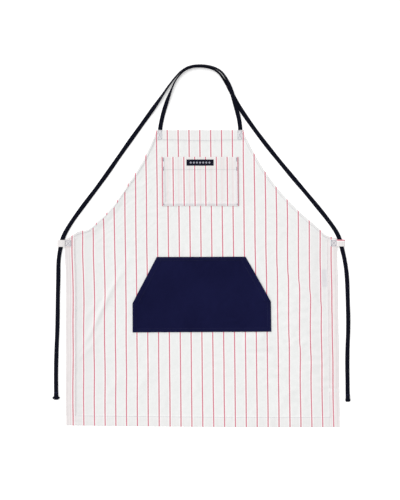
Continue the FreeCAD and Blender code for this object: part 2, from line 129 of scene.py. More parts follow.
def to_armhole(u, v):
    """Distance of plan points from the nearer armhole's edge."""
    u, v = np.broadcast_arrays(np.abs(u), v)
    flat = np.stack([u.ravel(), v.ravel()], axis=1)
    nearest = np.full(len(flat), 1.0)
    for point in ARMHOLE:
        nearest = np.minimum(nearest, np.hypot(*(flat - point).T))
    return nearest.reshape(u.shape)


def ramp(x, low, high):
    """A smooth step from 0 at low to 1 at high."""
    t = np.clip((x - low) / (high - low), 0, 1)
    return t * t * (3 - 2 * t)


def ridge(x, width):
    return np.exp(-(x / width) ** 2)


# ---------------------------------------------------------------- how the cloth lies
REST_ROWS, REST_COLUMNS = 97, 89
CREASES = [  # from and to, then the height, width and take-up of each soft crease, in millimetres
    ((-194, 40), (-314, -186), 2.6, 6.5, 1.0), ((-262, -36), (-306, -118), 1.0, 5, 0.3),
    ((-268, -148), (-322, -220), 1.1, 6, 0.4), ((-240, 150), (-196, 20), 0.8, 8, 0.2),
    ((-202, 46), (-132, 60), 0.7, 4, 0.0), ((-262, 112), (-152, 92), 0.6, 7, 0.0),
    ((-122, -190), (-168, -310), 0.9, 9, 0.3), ((-212, -250), (-256, -340), 0.8, 9, 0.3),
    ((196, 34), (350, -106), 1.2, 5, 1.6), ((224, -150), (290, -212), 0.9, 5, 1.3),
    ((232, 150), (192, 84), 0.7, 5, 0.2), ((212, 67), (282, 68), 0.6, 4, 0.0),
    ((150, 70), (166, -24), 0.8, 6, 0.2), ((316, 92), (268, 20), 0.8, 6, 0.3),
    ((250, -262), (180, -352), 0.9, 10, 0.2), ((-90, 337), (-34, 335), 0.9, 4, 0.0),
    ((30, 150), (118, 118), 0.5, 9, 0.0), ((0, 184), (2, 62), 0.45, 2.5, 0.0),
]
POCKET_CREASES = [
    ((-66, -20), (4, -130), 1.3, 6, 0.0), ((-128, 2), (-84, -60), 0.7, 9, 0.0),
    ((60, 10), (118, -70), 0.5, 12, 0.0), ((150, -86), (96, -126), 0.4, 9, 0.0),
]


def rest_plan():
    """The plan of the coarse cloth: rows up the panel, and columns that follow its outline."""
    v = np.linspace(BOTTOM, TOP, REST_ROWS)[:, None]
    u = np.linspace(-1, 1, REST_COLUMNS)[None, :] * half_width(v)
    return u, np.broadcast_to(v, u.shape)


def creases(u, v, marks=CREASES):
    """Height of the soft creases, and the cloth that each draws in from both its sides."""
    height, in_u, in_v = (np.zeros(np.broadcast(u, v).shape) for _ in range(3))
    for start, end, rise, width, take_up in marks:
        a, b = np.array(start) * MM, np.array(end) * MM
        run = b - a
        size = np.hypot(*run)
        along = ((u - a[0]) * run[0] + (v - a[1]) * run[1]) / size ** 2
        off = ((u - a[0]) * run[1] - (v - a[1]) * run[0]) / size
        off = off - 2.5 * MM * np.sin(8 * along + a[0] * 40)
        reach = ridge(along - 0.5, 0.42)
        height += rise * MM * ridge(off, width * MM) * reach
        draw = -take_up * MM * np.tanh(off / (width * MM)) * ridge(off, 70 * MM) * reach
        in_u += draw * run[1] / size
        in_v -= draw * run[0] / size
    return height, in_u, in_v


def ripples(u, v):
    """Slack in the cloth as it is let go: a few crossing waves, each strongest in its own place."""
    slack = np.random.default_rng(7)
    height = np.zeros(np.broadcast(u, v).shape)
    for _ in range(16):
        heading, length = slack.uniform(0, math.pi), slack.uniform(85, 190) * MM
        centre_u, centre_v = slack.uniform(-0.32, 0.32), slack.uniform(-0.38, 0.34)
        phase, rise = slack.uniform(0, 6), slack.uniform(1.2, 2.6) * MM
        travel = (u * math.cos(heading) + v * math.sin(heading)) * math.tau / length
        spread = ridge(u - centre_u, 0.15) * ridge(v - centre_v, 0.15)
        height += rise * np.sin(travel + phase) * spread
    return height


def settle_cloth():
    """Drop the slack panel onto the table and return how far each point of the plan has moved."""
    u, v = rest_plan()
    start = 5 * MM + ripples(u, v)
    bpy.ops.mesh.primitive_plane_add(size=3)
    table = bpy.context.object
    table.modifiers.new("table", "COLLISION")
    table.collision.thickness_outer = 0.2 * MM
    table.collision.cloth_friction = 20
    cloth = grid_object("settling_cloth", np.stack([u, v, start], axis=2))
    fall = cloth.modifiers.new("fall", "CLOTH")
    fall.settings.quality = 8
    fall.settings.mass = 0.02
    fall.settings.tension_stiffness = 30
    fall.settings.compression_stiffness = 30
    fall.settings.shear_stiffness = 12
    fall.settings.bending_stiffness = 0.35
    fall.settings.air_damping = 3
    fall.collision_settings.distance_min = 0.4 * MM
    fall.collision_settings.collision_quality = 3
    frames = 26
    fall.point_cache.frame_end = frames
    for step in range(1, frames + 1):
        bpy.context.scene.frame_set(step)
    settled = cloth.evaluated_get(bpy.context.evaluated_depsgraph_get())
    moved = np.zeros(len(cloth.data.vertices) * 3)
    settled.data.vertices.foreach_get("co", moved)
    moved = moved.reshape(u.shape + (3,)) - np.stack([u, v, 0 * u], axis=2)
    bpy.context.scene.frame_set(1)
    for used in (cloth, table):
        bpy.data.objects.remove(used, do_unlink=True)
    moved[..., 2] = 0.75 * np.clip(moved[..., 2] - np.percentile(moved[..., 2], 4), 0, 9 * MM)
    return moved


def cubic_weights(t):
    """Weights of the four points round a place between the middle two."""
    return np.stack([
        -0.5 * t + t ** 2 - 0.5 * t ** 3, 1 - 2.5 * t ** 2 + 1.5 * t ** 3,
        0.5 * t + 2 * t ** 2 - 1.5 * t ** 3, -0.5 * t ** 2 + 0.5 * t ** 3,
    ])


def sample(field, row, column):
    """A smooth reading of a coarse field, at fractional rows and columns."""
    rows, columns = field.shape[:2]
    row, column = np.clip(row, 0, rows - 1.001), np.clip(column, 0, columns - 1.001)
    r, c = row.astype(int), column.astype(int)
    down, across = cubic_weights(row - r), cubic_weights(column - c)
    total = 0
    for i in range(4):
        for j in range(4):
            at = field[np.clip(r + i - 1, 0, rows - 1), np.clip(c + j - 1, 0, columns - 1)]
            total = total + (down[i] * across[j])[..., None] * at
    return total


def calm(u, v):
    """0 where something holds the cloth flat, at the side loops and the sewn-in straps, and 1 elsewhere."""
    loops = ridge(np.hypot(np.abs(u) - SIDE, v - CORNER + 9 * MM), 62 * MM)
    return 1 - loops - (1 - loops) * ridge(v - TOP, 34 * MM)


def lie_askew(u, v):
    """The apron isn't laid out quite square: it leans to the left towards the bib, and its foot sags."""
    lean = 0.2 * MM - 0.0103 * v
    left = (1.6 * MM + 0.0103 * v) * np.clip(-u / SIDE, 0, 1)
    right = (0.5 * MM - 0.0042 * v) * np.clip(u / SIDE, 0, 1)
    wave = 0.4 * MM * np.sin(v * 37 + 9 * u) * ramp(np.abs(u), 0.05, 0.3)
    foot = -1.3 * MM - 1.9 * MM * np.sin(4.2 * u) + 1.4 * MM * (u / 0.3) ** 2
    pocket = -0.6 * MM + 2.0 * MM * np.clip(u / HAND_HIGH.x, -1, 1)
    chest = 1.6 * MM * ridge(v - CHEST_LOW.y, 40 * MM) * ridge(u, 0.13)
    down = foot * np.clip((-0.14 - v) / 0.24, 0, 1)
    down = down + pocket * np.clip(1 - np.abs(v + 0.06) / 0.16, 0, 1)
    across = lean + (left + right) * (1 - ramp(v, 0, 80 * MM)) + wave
    return across, down + chest - 0.8 * MM * ramp(v, 0.3, TOP)


def rolled_edge(u, v):
    """How far each armhole's edge is drawn down: the left hem rolls under along its lower half."""
    reach = np.exp(-to_armhole(u, v) / (42 * MM))
    lower = 10.5 * MM * ramp(-u, 0.186, 0.226) * (1 - ramp(-u, 0.284, 0.320))
    upper = 4.5 * MM * ramp(-u, 0.112, 0.150) * (1 - ramp(-u, 0.284, 0.320))
    corner = 6.0 * MM * ridge(u - 0.319, 15 * MM) - 1.4 * MM * ridge(u - 0.345, 8 * MM)
    return (lower + upper + corner) * reach


def moved(u, v):
    """How far the settled cloth is from its flat plan."""
    u, v = np.broadcast_arrays(np.asarray(u, float), np.asarray(v, float))
    row = (v - BOTTOM) / (TOP - BOTTOM) * (REST_ROWS - 1)
    column = (u / half_width(v) + 1) / 2 * (REST_COLUMNS - 1)
    shift = sample(SETTLED, row, column)
    askew_u, askew_v = lie_askew(u, v)
    rise, drawn_u, drawn_v = creases(u, v)
    roll = rolled_edge(u, v)
    rise = rise + 0.16 * roll * ridge(to_armhole(u, v) - 11 * MM, 9 * MM)
    quiet = calm(u, v)
    sideways = quiet * (0.35 * shift[..., 0] + drawn_u) + askew_u
    endways = quiet * (0.35 * shift[..., 1] + drawn_v) + askew_v - roll
    return sideways, endways, quiet * (shift[..., 2] + rise)


def bib_hem_edge(u):
    """Height on the plan of the bib hem's inner edge, which sags a little in the middle."""
    return TOP - WIDE_HEM - 2.4 * MM * ridge(u, 62 * MM)


def hem_plies(u, v):
    """1 where the panel is folded under, and 0 elsewhere."""
    ends = np.maximum(v - bib_hem_edge(u), (BOTTOM + WIDE_HEM) - v)
    wide = np.maximum(ramp(ends, -0.9 * MM, 0.9 * MM), side_hem(u))
    return np.maximum(wide, 1 - ramp(to_armhole(u, v), ARMHOLE_HEM - 0.9 * MM, ARMHOLE_HEM + 0.9 * MM))


def side_hem(u):
    return ramp(np.abs(u) - (SIDE - WIDE_HEM), -0.9 * MM, 0.9 * MM)


def seam_dip(u, v):
    """The cloth is drawn down along its seams, and puckers across them."""
    seam = WIDE_HEM - SEAM_INSET
    side = np.where(v < CORNER, np.abs(u) - (SIDE - seam), 1)
    foot = np.where(np.abs(u) < SIDE - seam, v - BOTTOM - seam, 1)
    top = v - bib_hem_edge(u) - SEAM_INSET
    arm = to_armhole(u, v) - ARMHOLE_SEAM
    dip = 0
    for off, along in ((side, v), (foot, u), (top, u), (arm, v)):
        pucker = 0.16 * np.sin(along * math.tau / (13 * MM) + 3 * np.sin(along * 47)) + 0.10
        dip = dip - 0.30 * MM * ridge(off, 1.3 * MM) + pucker * MM * ridge(off, 8 * MM)
    return dip


def panel_height(u, v):
    """Height of the middle of the panel's cloth above the table."""
    return moved(u, v)[2] + PLY / 2 + FOLD * hem_plies(u, v) + seam_dip(u, v) + 0.25 * MM


def lay(u, v, above):
    """Points of the plan, put on the settled cloth at a height above the middle of the panel."""
    u, v, above = (np.asarray(a, float) for a in np.broadcast_arrays(u, v, above))
    shift_u, shift_v, _ = moved(u, v)
    return np.stack([u + shift_u, v + shift_v, panel_height(u, v) + above], axis=-1)


# ---------------------------------------------------------------- making meshes
def new_object(name, vertices, faces, uvs=None):
    """A mesh object at the origin. uvs holds one plan point for each vertex."""
    mesh = bpy.data.meshes.new(name)
    mesh.from_pydata(vertices.tolist(), [], [list(map(int, face)) for face in faces])
    mesh.update()
    if uvs is not None:
        layer = mesh.uv_layers.new(name="cloth")
        corner_vertices = np.zeros(len(mesh.loops), int)
        mesh.loops.foreach_get("vertex_index", corner_vertices)
        layer.data.foreach_set("uv", np.asarray(uvs, np.float32)[corner_vertices].ravel())
    mesh.polygons.foreach_set("use_smooth", [True] * len(mesh.polygons))
    made = bpy.data.objects.new(name, mesh)
    bpy.context.collection.objects.link(made)
    return made


def grid_faces(rows, columns, ring=False):
    """Quads of a grid, facing up when rows run away and columns right. A ring joins its columns' ends."""
    row, column = np.meshgrid(np.arange(rows - 1), np.arange(columns if ring else columns - 1), indexing="ij")
    after = (column + 1) % columns
    corners = [row * columns + column, row * columns + after,
               (row + 1) * columns + after, (row + 1) * columns + column]
    return np.stack(corners, axis=-1).reshape(-1, 4)


def grid_object(name, points, uvs=None):
    rows, columns = points.shape[:2]
    flat_uvs = None if uvs is None else uvs.reshape(-1, 2)
    return new_object(name, points.reshape(-1, 3), grid_faces(rows, columns), flat_uvs)


def finish(made, body, replaced, thickness, material, sharp=42):
    """Give a piece its thickness, its material and its place in the frame's tree."""
    bpy.ops.object.select_all(action="DESELECT")
    made.select_set(True)
    bpy.context.view_layer.objects.active = made
    if thickness:
        solid = made.modifiers.new("thickness", "SOLIDIFY")
        solid.thickness = thickness
        solid.offset = 0
        bpy.ops.object.modifier_apply(modifier=solid.name)
    bpy.ops.object.shade_smooth_by_angle(angle=math.radians(sharp))
    made.data.materials.clear()
    made.data.materials.append(material)
    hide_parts(*replaced)
    if body:
        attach(made, body)
    made.select_set(False)


def weights_attribute(made, name, values):
    """One number for each point, for a material to read."""
    layer = made.data.attributes.new(name, "FLOAT", "POINT")
    layer.data.foreach_set("value", np.asarray(values, np.float32).ravel())


# ---------------------------------------------------------------- shader values
class Shade:
    """A value in a material's node tree, which Python arithmetic adds Math nodes to."""

    def __init__(self, tree, socket):
        self.tree = tree
        self.socket = socket

    def node(self, kind, values, settings=None, output=0):
        """Add any node: its type, then its sockets' values or links, and its settings, which come first."""
        made = self.tree.nodes.new(kind)
        for key, setting in (settings or {}).items():
            if key == "stops":
                while len(made.color_ramp.elements) < len(setting):
                    made.color_ramp.elements.new(0.5)
                for element, (position, colour) in zip(made.color_ramp.elements, setting):
                    element.position = position
                    element.color = (*colour, 1)
            else:
                setattr(made, key, setting)
        for key, value in values.items():
            if isinstance(value, Shade):
                self.tree.links.new(value.socket, made.inputs[key])
            else:
                made.inputs[key].default_value = value
        return Shade(self.tree, made.outputs[output])

    def maths(self, operation, *others):
        return self.node("ShaderNodeMath", dict(enumerate((self,) + others)), {"operation": operation})

    def __add__(self, other):
        return self.maths("ADD", other)

    __radd__ = __add__

    def __mul__(self, other):
        return self.maths("MULTIPLY", other)

    __rmul__ = __mul__

    def __sub__(self, other):
        return self.maths("SUBTRACT", other)

    def __rsub__(self, other):
        return self.node("ShaderNodeMath", {0: other, 1: self}, {"operation": "SUBTRACT"})

    def __truediv__(self, other):
        return self.maths("DIVIDE", other)

    def __abs__(self):
        return self.maths("ABSOLUTE")

    def sine(self, period):
        """A wave from -1 to 1 that repeats over a period of this value."""
        return (self * (math.tau / period)).maths("SINE")

    def to_line(self, pitch, offset=0.0):
        """Distance to the nearest of many evenly spaced lines."""
        return abs((self / pitch + (offset + 0.5)).maths("FRACT") - 0.5) * pitch

    def step(self, low, high):
        """A smooth step from 0 at low to 1 at high, or down from 1 when low is the larger."""
        flip = low > high
        values = {"Value": self, "From Min": min(low, high), "From Max": max(low, high)}
        rise = self.node("ShaderNodeMapRange", values, {"interpolation_type": "SMOOTHSTEP"})
        return 1 - rise if flip else rise

    def at_most(self, other):
        return self.maths("MINIMUM", other)

    def mix(self, first, second):
        """The first colour where this is 0 and the second where it is 1."""
        values = {0: self, 6: first, 7: second}
        return self.node("ShaderNodeMix", values, {"data_type": "RGBA"}, output=2)


def linear(red, green, blue):
    """A colour given in the usual 0 to 255, as light."""
    channels = [c / 255 for c in (red, green, blue)]
    return tuple(c / 12.92 if c <= 0.04045 else ((c + 0.055) / 1.055) ** 2.4 for c in channels) + (1,)


def start_material(name, **constants):
    """A material and its shader, and the piece's own map: whole, and its two numbers."""
    material = bpy.data.materials.new(name)
    material.use_nodes = True
    tree = material.node_tree
    shader = tree.nodes["Principled BSDF"]
    for key, value in constants.items():
        shader.inputs[key.replace("_", " ").title().replace("Ior", "IOR")].default_value = value
    place = tree.nodes.new("ShaderNodeUVMap")
    place.uv_map = "cloth"
    split = tree.nodes.new("ShaderNodeSeparateXYZ")
    tree.links.new(place.outputs[0], split.inputs[0])
    u, v = (Shade(tree, split.outputs[axis]) for axis in (0, 1))
    return material, shader, Shade(tree, place.outputs[0]), u, v


def object_place(any_value):
    """The object's own coordinates, whole and as X and Y."""
    tree = any_value.tree
    where = tree.nodes.new("ShaderNodeTexCoord")
    split = tree.nodes.new("ShaderNodeSeparateXYZ")
    tree.links.new(where.outputs["Object"], split.inputs[0])
    return Shade(tree, where.outputs["Object"]), Shade(tree, split.outputs[0]), Shade(tree, split.outputs[1])


def end_material(material, shader, colour, roughness, height, depth):
    """Join a colour, a roughness and a relief height in metres to the shader."""
    tree = material.node_tree
    tree.links.new(colour.socket, shader.inputs["Base Color"])
    tree.links.new(roughness.socket, shader.inputs["Roughness"])
    bump = height.node("ShaderNodeBump", {"Height": height, "Distance": depth, "Strength": 1.0})
    tree.links.new(bump.socket, shader.inputs["Normal"])
    return material


def noise(place, scale, detail=2.0):
    return place.node("ShaderNodeTexNoise", {"Vector": place, "Scale": scale, "Detail": detail})


def weave(across, up, pitch):
    """Relief of a twill: fine diagonal ribs, broken by the yarns that cross them."""
    ribs = (across + up).sine(pitch) * 0.5 + 0.5
    yarns = (across - up * 0.4).sine(pitch * 0.61) * 0.5 + 0.5
    return ribs * 0.7 + yarns * 0.3


# ---------------------------------------------------------------- materials
CLOTH_DULL = linear(227, 228, 227)
CLOTH_BRIGHT = linear(234, 235, 234)
# Painted shade: the greyer tone the cloth is given towards both sides.
CLOTH_SIDE_SHADE = linear(224, 222, 222)
CLOTH_DOUBLED = linear(233, 227, 226)
CLOTH_DOUBLED_DULL = linear(219, 213, 214)
CLOTH_BLEACHED = linear(244, 246, 245)
CLOTH_OVER_STRIPE = linear(231, 207, 209)
CLOTH_OVER_NAVY = linear(204, 202, 208)
STRIPE_RED = linear(194, 78, 100)
STRIPE_PALE = linear(226, 168, 178)


def striped_cloth(name, stripe_at, ghost=False, along_x=False):
    """Off-white cotton twill with thin red stripes, each between a few bleached yarns.

    stripe_at is where one stripe runs, in pitches from the middle of the panel, and ghost lets the
    stripes of the cloth beneath show faintly through. The points' plies tell where the cloth is
    turned under, and their beneath tells where something darker lies under it.
    """
    material, shader, place, u, v = start_material(
        name, sheen_weight=0.10, sheen_roughness=0.5, specular_ior_level=0.10,
    )
    across, up = (v, u) if along_x else (u, v)
    drift = (noise(place, 7.0) - 0.5) * (1.2 * MM)
    off = (across + drift).to_line(STRIPE_PITCH, -stripe_at)
    grain = noise(place, 1500.0, 3.0)
    edge = off + (grain - 0.5) * (0.5 * MM)
    stripe = edge.step(2.0 * MM, 1.3 * MM)
    bleached = edge.step(1.5 * MM, 2.0 * MM) * edge.step(4.6 * MM, 3.0 * MM)

    mottle = noise(place, 26.0, 3.0) * 0.35 + noise(place, 210.0, 3.0) * 0.35 + grain * 0.3
    plain = mottle.step(0.28, 0.72).mix(CLOTH_DULL, CLOTH_BRIGHT)
    # Painted shade: the plain cloth is drawn greyer, in patches, towards both sides, where the light falls
    # off.
    side_shade = abs(u).step(0.22, 0.36) * (0.55 + noise(place, 11.0, 2.0) * 0.6)
    plain = side_shade.at_most(1.0).mix(plain, CLOTH_SIDE_SHADE)
    lines = (u.sine(7.3 * MM) * 0.35 + noise(place, 60.0) * 0.6 + 0.2).at_most(1.0)
    doubled = lines.mix(CLOTH_DOUBLED, CLOTH_DOUBLED_DULL)
    plain = point_value(place, "plies").mix(plain, doubled)
    plain = point_value(place, "beneath").mix(plain, CLOTH_OVER_NAVY)
    if ghost:
        beneath = (across + drift * 0.4).to_line(STRIPE_PITCH, 0.5 - stripe_at)
        single = 0.5 - point_value(place, "plies") * 0.4
        plain = (beneath.step(3.0 * MM, 1.2 * MM) * single).mix(plain, CLOTH_OVER_STRIPE)
    plain = (bleached * 0.75).mix(plain, CLOTH_BLEACHED)
    yarn = (up + across * 0.6).sine(1.1 * MM) * 0.35 + grain * 0.3 + 0.35
    colour = stripe.mix(plain, yarn.mix(STRIPE_PALE, STRIPE_RED))
    height = weave(across, up, 1.05 * MM) + grain * 0.5
    return end_material(material, shader, colour, 0.86 + grain * 0.1, height, 0.10 * MM)


def point_value(place, name):
    return place.node("ShaderNodeAttribute", {}, {"attribute_name": name}, output=2)


def navy_twill():
    """Navy cotton twill for the hand pocket, faintly paler along its worn edges."""
    material, shader, place, u, v = start_material(
        "navy_twill", sheen_weight=0.03, sheen_roughness=0.45, specular_ior_level=0.06,
    )
    grain = noise(place, 1300.0, 3.0)
    cloud = noise(place, 9.0, 3.0)
    edge = point_value(place, "edge")
    ribs = (u + v).sine(1.3 * MM) * 0.5 + 0.5
    tone = (cloud * 0.55 + ribs * 0.25 + grain * 0.2).step(0.2, 0.8)
    deep = tone.mix(linear(12, 13, 46), linear(21, 23, 61))
    worn = (edge * grain.step(0.42, 0.7) * 0.55).at_most(1.0)
    colour = worn.mix(deep, linear(34, 38, 80))
    height = weave(u, v, 1.3 * MM) + grain * 0.4
    return end_material(material, shader, colour, 0.82 + grain * 0.12, height, 0.12 * MM)


def flat_braid(name="navy_braid", hidden_end=False):
    """Nearly black navy braid: a herringbone of fine yarns, with a little lint.

    The strap's ends under the hem have no map of their own, so theirs runs up the apron.
    """
    material, shader, place, along, across = start_material(
        name, sheen_weight=0.03, sheen_roughness=0.4, specular_ior_level=0.06,
    )
    if hidden_end:
        place, across, along = object_place(place)
        across = abs(across) - STRAP_END_X
    fold = abs(across)
    strands = (along + fold * 1.15).sine(2.3 * MM) * 0.5 + 0.5
    fibres = (along * 0.6 - fold * 1.4).sine(0.62 * MM) * 0.5 + 0.5
    lint = noise(place, 900.0, 4.0)
    tone = (strands * 0.55 + fibres * 0.2 + lint * 0.25).step(0.2, 0.85)
    dark = tone.mix(linear(4, 5, 14), linear(19, 21, 37))
    colour = (lint.step(0.68, 0.78) * 0.3).mix(dark, linear(58, 62, 78))
    height = strands * 0.8 + fibres * 0.3 + lint * 0.25
    return end_material(material, shader, colour, 0.66 + lint * 0.25, height, 0.32 * MM)


def satin_label(name, dark, light, motif=None):
    """Close satin weave, as on a care label, or on a woven label with a row of plain diamonds."""
    material, shader, place, u, v = start_material(
        name, sheen_weight=0.02, sheen_roughness=0.3, specular_ior_level=0.1,
    )
    weft = v.sine(0.42 * MM) * 0.5 + 0.5
    warp = (u + v * 0.3).sine(0.55 * MM) * 0.5 + 0.5
    fleck = noise(place, 1100.0, 2.0)
    colour = (weft * 0.4 + warp * 0.25 + fleck * 0.35).step(0.2, 0.8).mix(dark, light)
    if motif:
        middle = (LABEL_LOW.y + LABEL_HIGH.y) / 2
        diamond = u.to_line(8 * MM) + abs(v - middle)
        row = diamond.step(3.2 * MM, 2.7 * MM) * abs(u).step(29 * MM, 28 * MM)
        colour = (row * (0.75 + fleck * 0.25)).mix(colour, motif)
    return end_material(material, shader, colour, 0.5 + fleck * 0.2, weft * 0.7 + warp * 0.3, 0.06 * MM)


def spun_thread(name, dark, light):
    """Sewing thread: two plies twisted together."""
    material, shader, mapped, _, _ = start_material(name, specular_ior_level=0.3)
    place, x, y = object_place(mapped)
    twist = (x * 0.8 + y).sine(0.5 * MM) * 0.5 + 0.5
    fuzz = noise(place, 1800.0, 2.0)
    colour = (twist * 0.6 + fuzz * 0.4).mix(dark, light)
    return end_material(material, shader, colour, 0.6 + fuzz * 0.2, twist, 0.08 * MM)


PANEL_CLOTH = striped_cloth("striped_twill_panel", 0.0)
CHEST_CLOTH = striped_cloth("striped_twill_pocket", 0.5, ghost=True)
LOOP_CLOTH = striped_cloth("striped_twill_loops", 0.0, along_x=True)
NAVY_CLOTH = navy_twill()
BRAID = flat_braid()
HIDDEN_BRAID = flat_braid("navy_braid_end", hidden_end=True)
LABEL_SATIN = satin_label("navy_label_weave", linear(4, 5, 20), linear(12, 14, 36), linear(168, 168, 182))
CARE_SATIN = satin_label("white_label_satin", linear(222, 222, 224), linear(244, 244, 244))
GREY_THREAD = spun_thread("grey_thread", linear(140, 142, 158), linear(186, 187, 198))
SLATE_THREAD = spun_thread("slate_thread", linear(60, 60, 94), linear(106, 104, 136))
NAVY_THREAD = spun_thread("navy_thread", linear(20, 22, 48), linear(46, 50, 86))


# ---------------------------------------------------------------- panel
def spread(low, high, near_low, near_high, gap):
    """Places from low to high: close ones listed at each end, and even ones between."""
    first = low + np.array(near_low) * MM
    last = high - np.array(near_high)[::-1] * MM
    count = max(2, int(round((last[0] - first[-1]) / gap)))
    return np.concatenate([first, np.linspace(first[-1], last[0], count + 1)[1:-1], last])


NEAR_EDGE = [0, 0.8, 2.6, 4.2, 5.0, 5.8, 7.0, 8.4, 12, 17, 21.5, 23.2, 24.2, 25.2, 26.8, 29.5, 34]


def make_panel():
    v = spread(BOTTOM, TOP, NEAR_EDGE, NEAR_EDGE, 4.6 * MM)[:, None]
    across = spread(-1.0, 1.0, [0], [0], 2 / 138)[None, :]
    edge = np.array(NEAR_EDGE) * MM
    half = half_width(v)
    inner = across * (half - edge[-1])
    u = np.concatenate([edge[None, :] - half, inner[:, 1:-1], (half - edge[None, :])[:, ::-1]], axis=1)
    v = np.broadcast_to(v, u.shape)
    panel = grid_object("apron_panel_cloth", lay(u, v, 0), woven(u, v))
    weights_attribute(panel, "plies", hem_plies(u, v) * (0.2 + 0.8 * side_hem(u)))
    weights_attribute(panel, "beneath", under_panel(u, v))
    area = float(np.trapz(2 * half[:, 0], spread(BOTTOM, TOP, NEAR_EDGE, NEAR_EDGE, 4.6 * MM)))
    finish(panel, "apron", ["apron_panel"], PLY, PANEL_CLOTH)


def woven(u, v):
    """Place in the weave of a plan point: the stripes run a little nearer the middle on the left.

    The left armhole's hem is twisted where it rolls under, so there its stripes miss the panel's.
    """
    u, v = np.broadcast_arrays(u, v)
    twisted = ramp(-u, 0.168, 0.186) * (1 - ramp(-u, 0.282, 0.300))
    twisted = twisted * (1 - ramp(to_armhole(u, v), 4.4 * MM, 5.4 * MM))
    nearer = 3 * MM * (np.clip(-u, 0, 1) / 0.335) ** 3
    return np.stack([u - nearer - 9 * MM * twisted, v], axis=-1)


def under_panel(u, v):
    """Where the straps' ends and the care label show through from beneath."""
    off_strap = np.abs(np.abs(u) - STRAP_END_X)
    strap = (1 - ramp(off_strap, 4.6 * MM, 6 * MM)) * ramp(v, TOP - 23 * MM, TOP - 21 * MM)
    care = ramp(np.minimum(u - CARE_LOW.x, CARE_HIGH.x - u), -MM, MM)
    care = care * ramp(np.minimum(v - CARE_LOW.y, CARE_HIGH.y - v), -MM, MM)
    return np.maximum(0.5 * strap, 0.5 * care)


def inward(u, v):
    """Unit vectors that point into the cloth, square to a path that runs anticlockwise round it."""
    du, dv = np.gradient(u), np.gradient(v)
    size = np.hypot(du, dv)
    return -dv / size, du / size


HEM_SHAPE = [  # share of the hem's depth, fixed reach and drop below the panel, round both folds
    (0, 0.0, 0.0), (0, -0.45, -0.22), (0, -0.62, -0.6), (0, -0.45, -0.98), (0, 0.1, -1.2),
    (0.3, 0, -1.2), (0.7, 0, -1.2), (1, -0.5, -1.2), (1, 0.0, -0.9), (1, -0.5, -0.62), (0.5, 0, -0.6),
    (0, 2.0, -0.6),
]


def make_hem(name, u, v, depth, replaced):
    """Cloth turned under twice along an edge of the panel, which runs anticlockwise round it."""
    into_u, into_v = inward(u, v)
    rings, plan = [], []
    for share, reach, drop in HEM_SHAPE:
        into = share * depth + reach * MM
        at_u, at_v = u + into_u * into, v + into_v * into
        place = lay(at_u, at_v, 0)
        place[..., 2] = np.maximum(panel_height(u, v) + drop * MM, 0.35 * MM)
        rings.append(place)
        plan.append(woven(at_u, at_v))
    hem = grid_object(name, np.array(rings)[::-1], np.array(plan)[::-1])
    finish(hem, "apron", replaced, 0.5 * MM, PANEL_CLOTH, sharp=60)


def make_hems():
    side_v = np.linspace(BOTTOM + WIDE_HEM, CORNER, 110)
    foot_u = np.linspace(-SIDE, SIDE, 150)
    top_u = np.linspace(BIB_HALF, -BIB_HALF, 70)
    arm = ARMHOLE[::-1][:226:2]
    make_hem("bib_top_hem_fold", top_u, np.full(70, TOP), WIDE_HEM, ["bib_top_hem"])
    make_hem("bottom_hem_fold", foot_u, np.full(150, BOTTOM), WIDE_HEM, ["bottom_hem"])
    make_hem("side_hem_right_fold", np.full(110, SIDE), side_v, WIDE_HEM, ["side_hem_right"])
    make_hem("side_hem_left_fold", np.full(110, -SIDE), side_v[::-1], WIDE_HEM, ["side_hem_left"])
    make_hem("armhole_hem_right_fold", arm[:, 0], arm[:, 1], ARMHOLE_HEM, ["armhole_hem_right"])
    make_hem("armhole_hem_left_fold", -arm[::-1, 0], arm[::-1, 1], ARMHOLE_HEM, ["armhole_hem_left"])


# ---------------------------------------------------------------- the straps' lines
def smooth_line(name, route):
    """The line that a strap follows: one smooth spline that the route's points pull on."""
    curve = bpy.data.curves.new(name, "CURVE")
    curve.dimensions = "3D"
    curve.resolution_u = 36
    spline = curve.splines.new("NURBS")
    spline.points.add(len(route) - 1)
    for point, (x, y, z) in zip(spline.points, route):
        point.co = (x * MM, y * MM, z * MM, 1)
    spline.order_u = 3
    spline.use_endpoint_u = True
    drawn = bpy.data.objects.new(name, curve)
    bpy.context.collection.objects.link(drawn)
    line = bpy.data.meshes.new_from_object(drawn)
    points = np.array([vertex.co for vertex in line.vertices])
    bpy.data.meshes.remove(line)
    bpy.data.objects.remove(drawn, do_unlink=True)
    bpy.data.curves.remove(curve)
    return points


RIGHT_ROUTE = [
    (-106, 381, 1.6), (-103, 404, 1.6), (-91.5, 445.5, 2.6), (-79, 479, 4.8), (-65.6, 510.8, 5.5),
    (-38, 540.6, 5.5), (6, 544.8, 5.5), (41.5, 533.8, 5.5), (62.2, 505, 5.0), (75, 483, 2.8),
    (86.5, 460, 1.6), (107, 425, 1.6), (153, 360.5, 1.6), (216, 282, 1.6), (284.5, 201.5, 1.6),
    (329.5, 146, 1.6), (353.5, 110, 2.95), (361.8, 78, 2.95), (370.5, 41, 1.6), (375.5, 1, 1.6),
    (377, -55, 1.6), (379, -120, 1.6), (375.5, -200, 1.6), (376.5, -270, 1.6), (377, -314.4, 1.6),
]
LEFT_ROUTE = [
    (100.5, 381, 1.6), (99.5, 401, 1.8), (89.5, 439, 4.3), (80, 474, 5.4), (67.8, 510, 6.6),
    (46.5, 538, 6.3), (3, 549.0, 6.0), (-40, 543.5, 5.6), (-73.5, 510, 5.5), (-110.3, 454, 4.8),
    (-155.6, 391, 1.6), (-196.5, 334, 1.6), (-255, 249.5, 1.6), (-302.5, 187, 1.6), (-334, 144, 1.6),
    (-355.5, 107, 2.95), (-362, 78, 2.95), (-367.5, 45, 1.6), (-367.5, 5, 1.6), (-369, -50, 1.6),
    (-369.5, -120, 1.6), (-373, -200, 1.6), (-373.8, -266, 1.6), (-373, -309.2, 1.6),
]
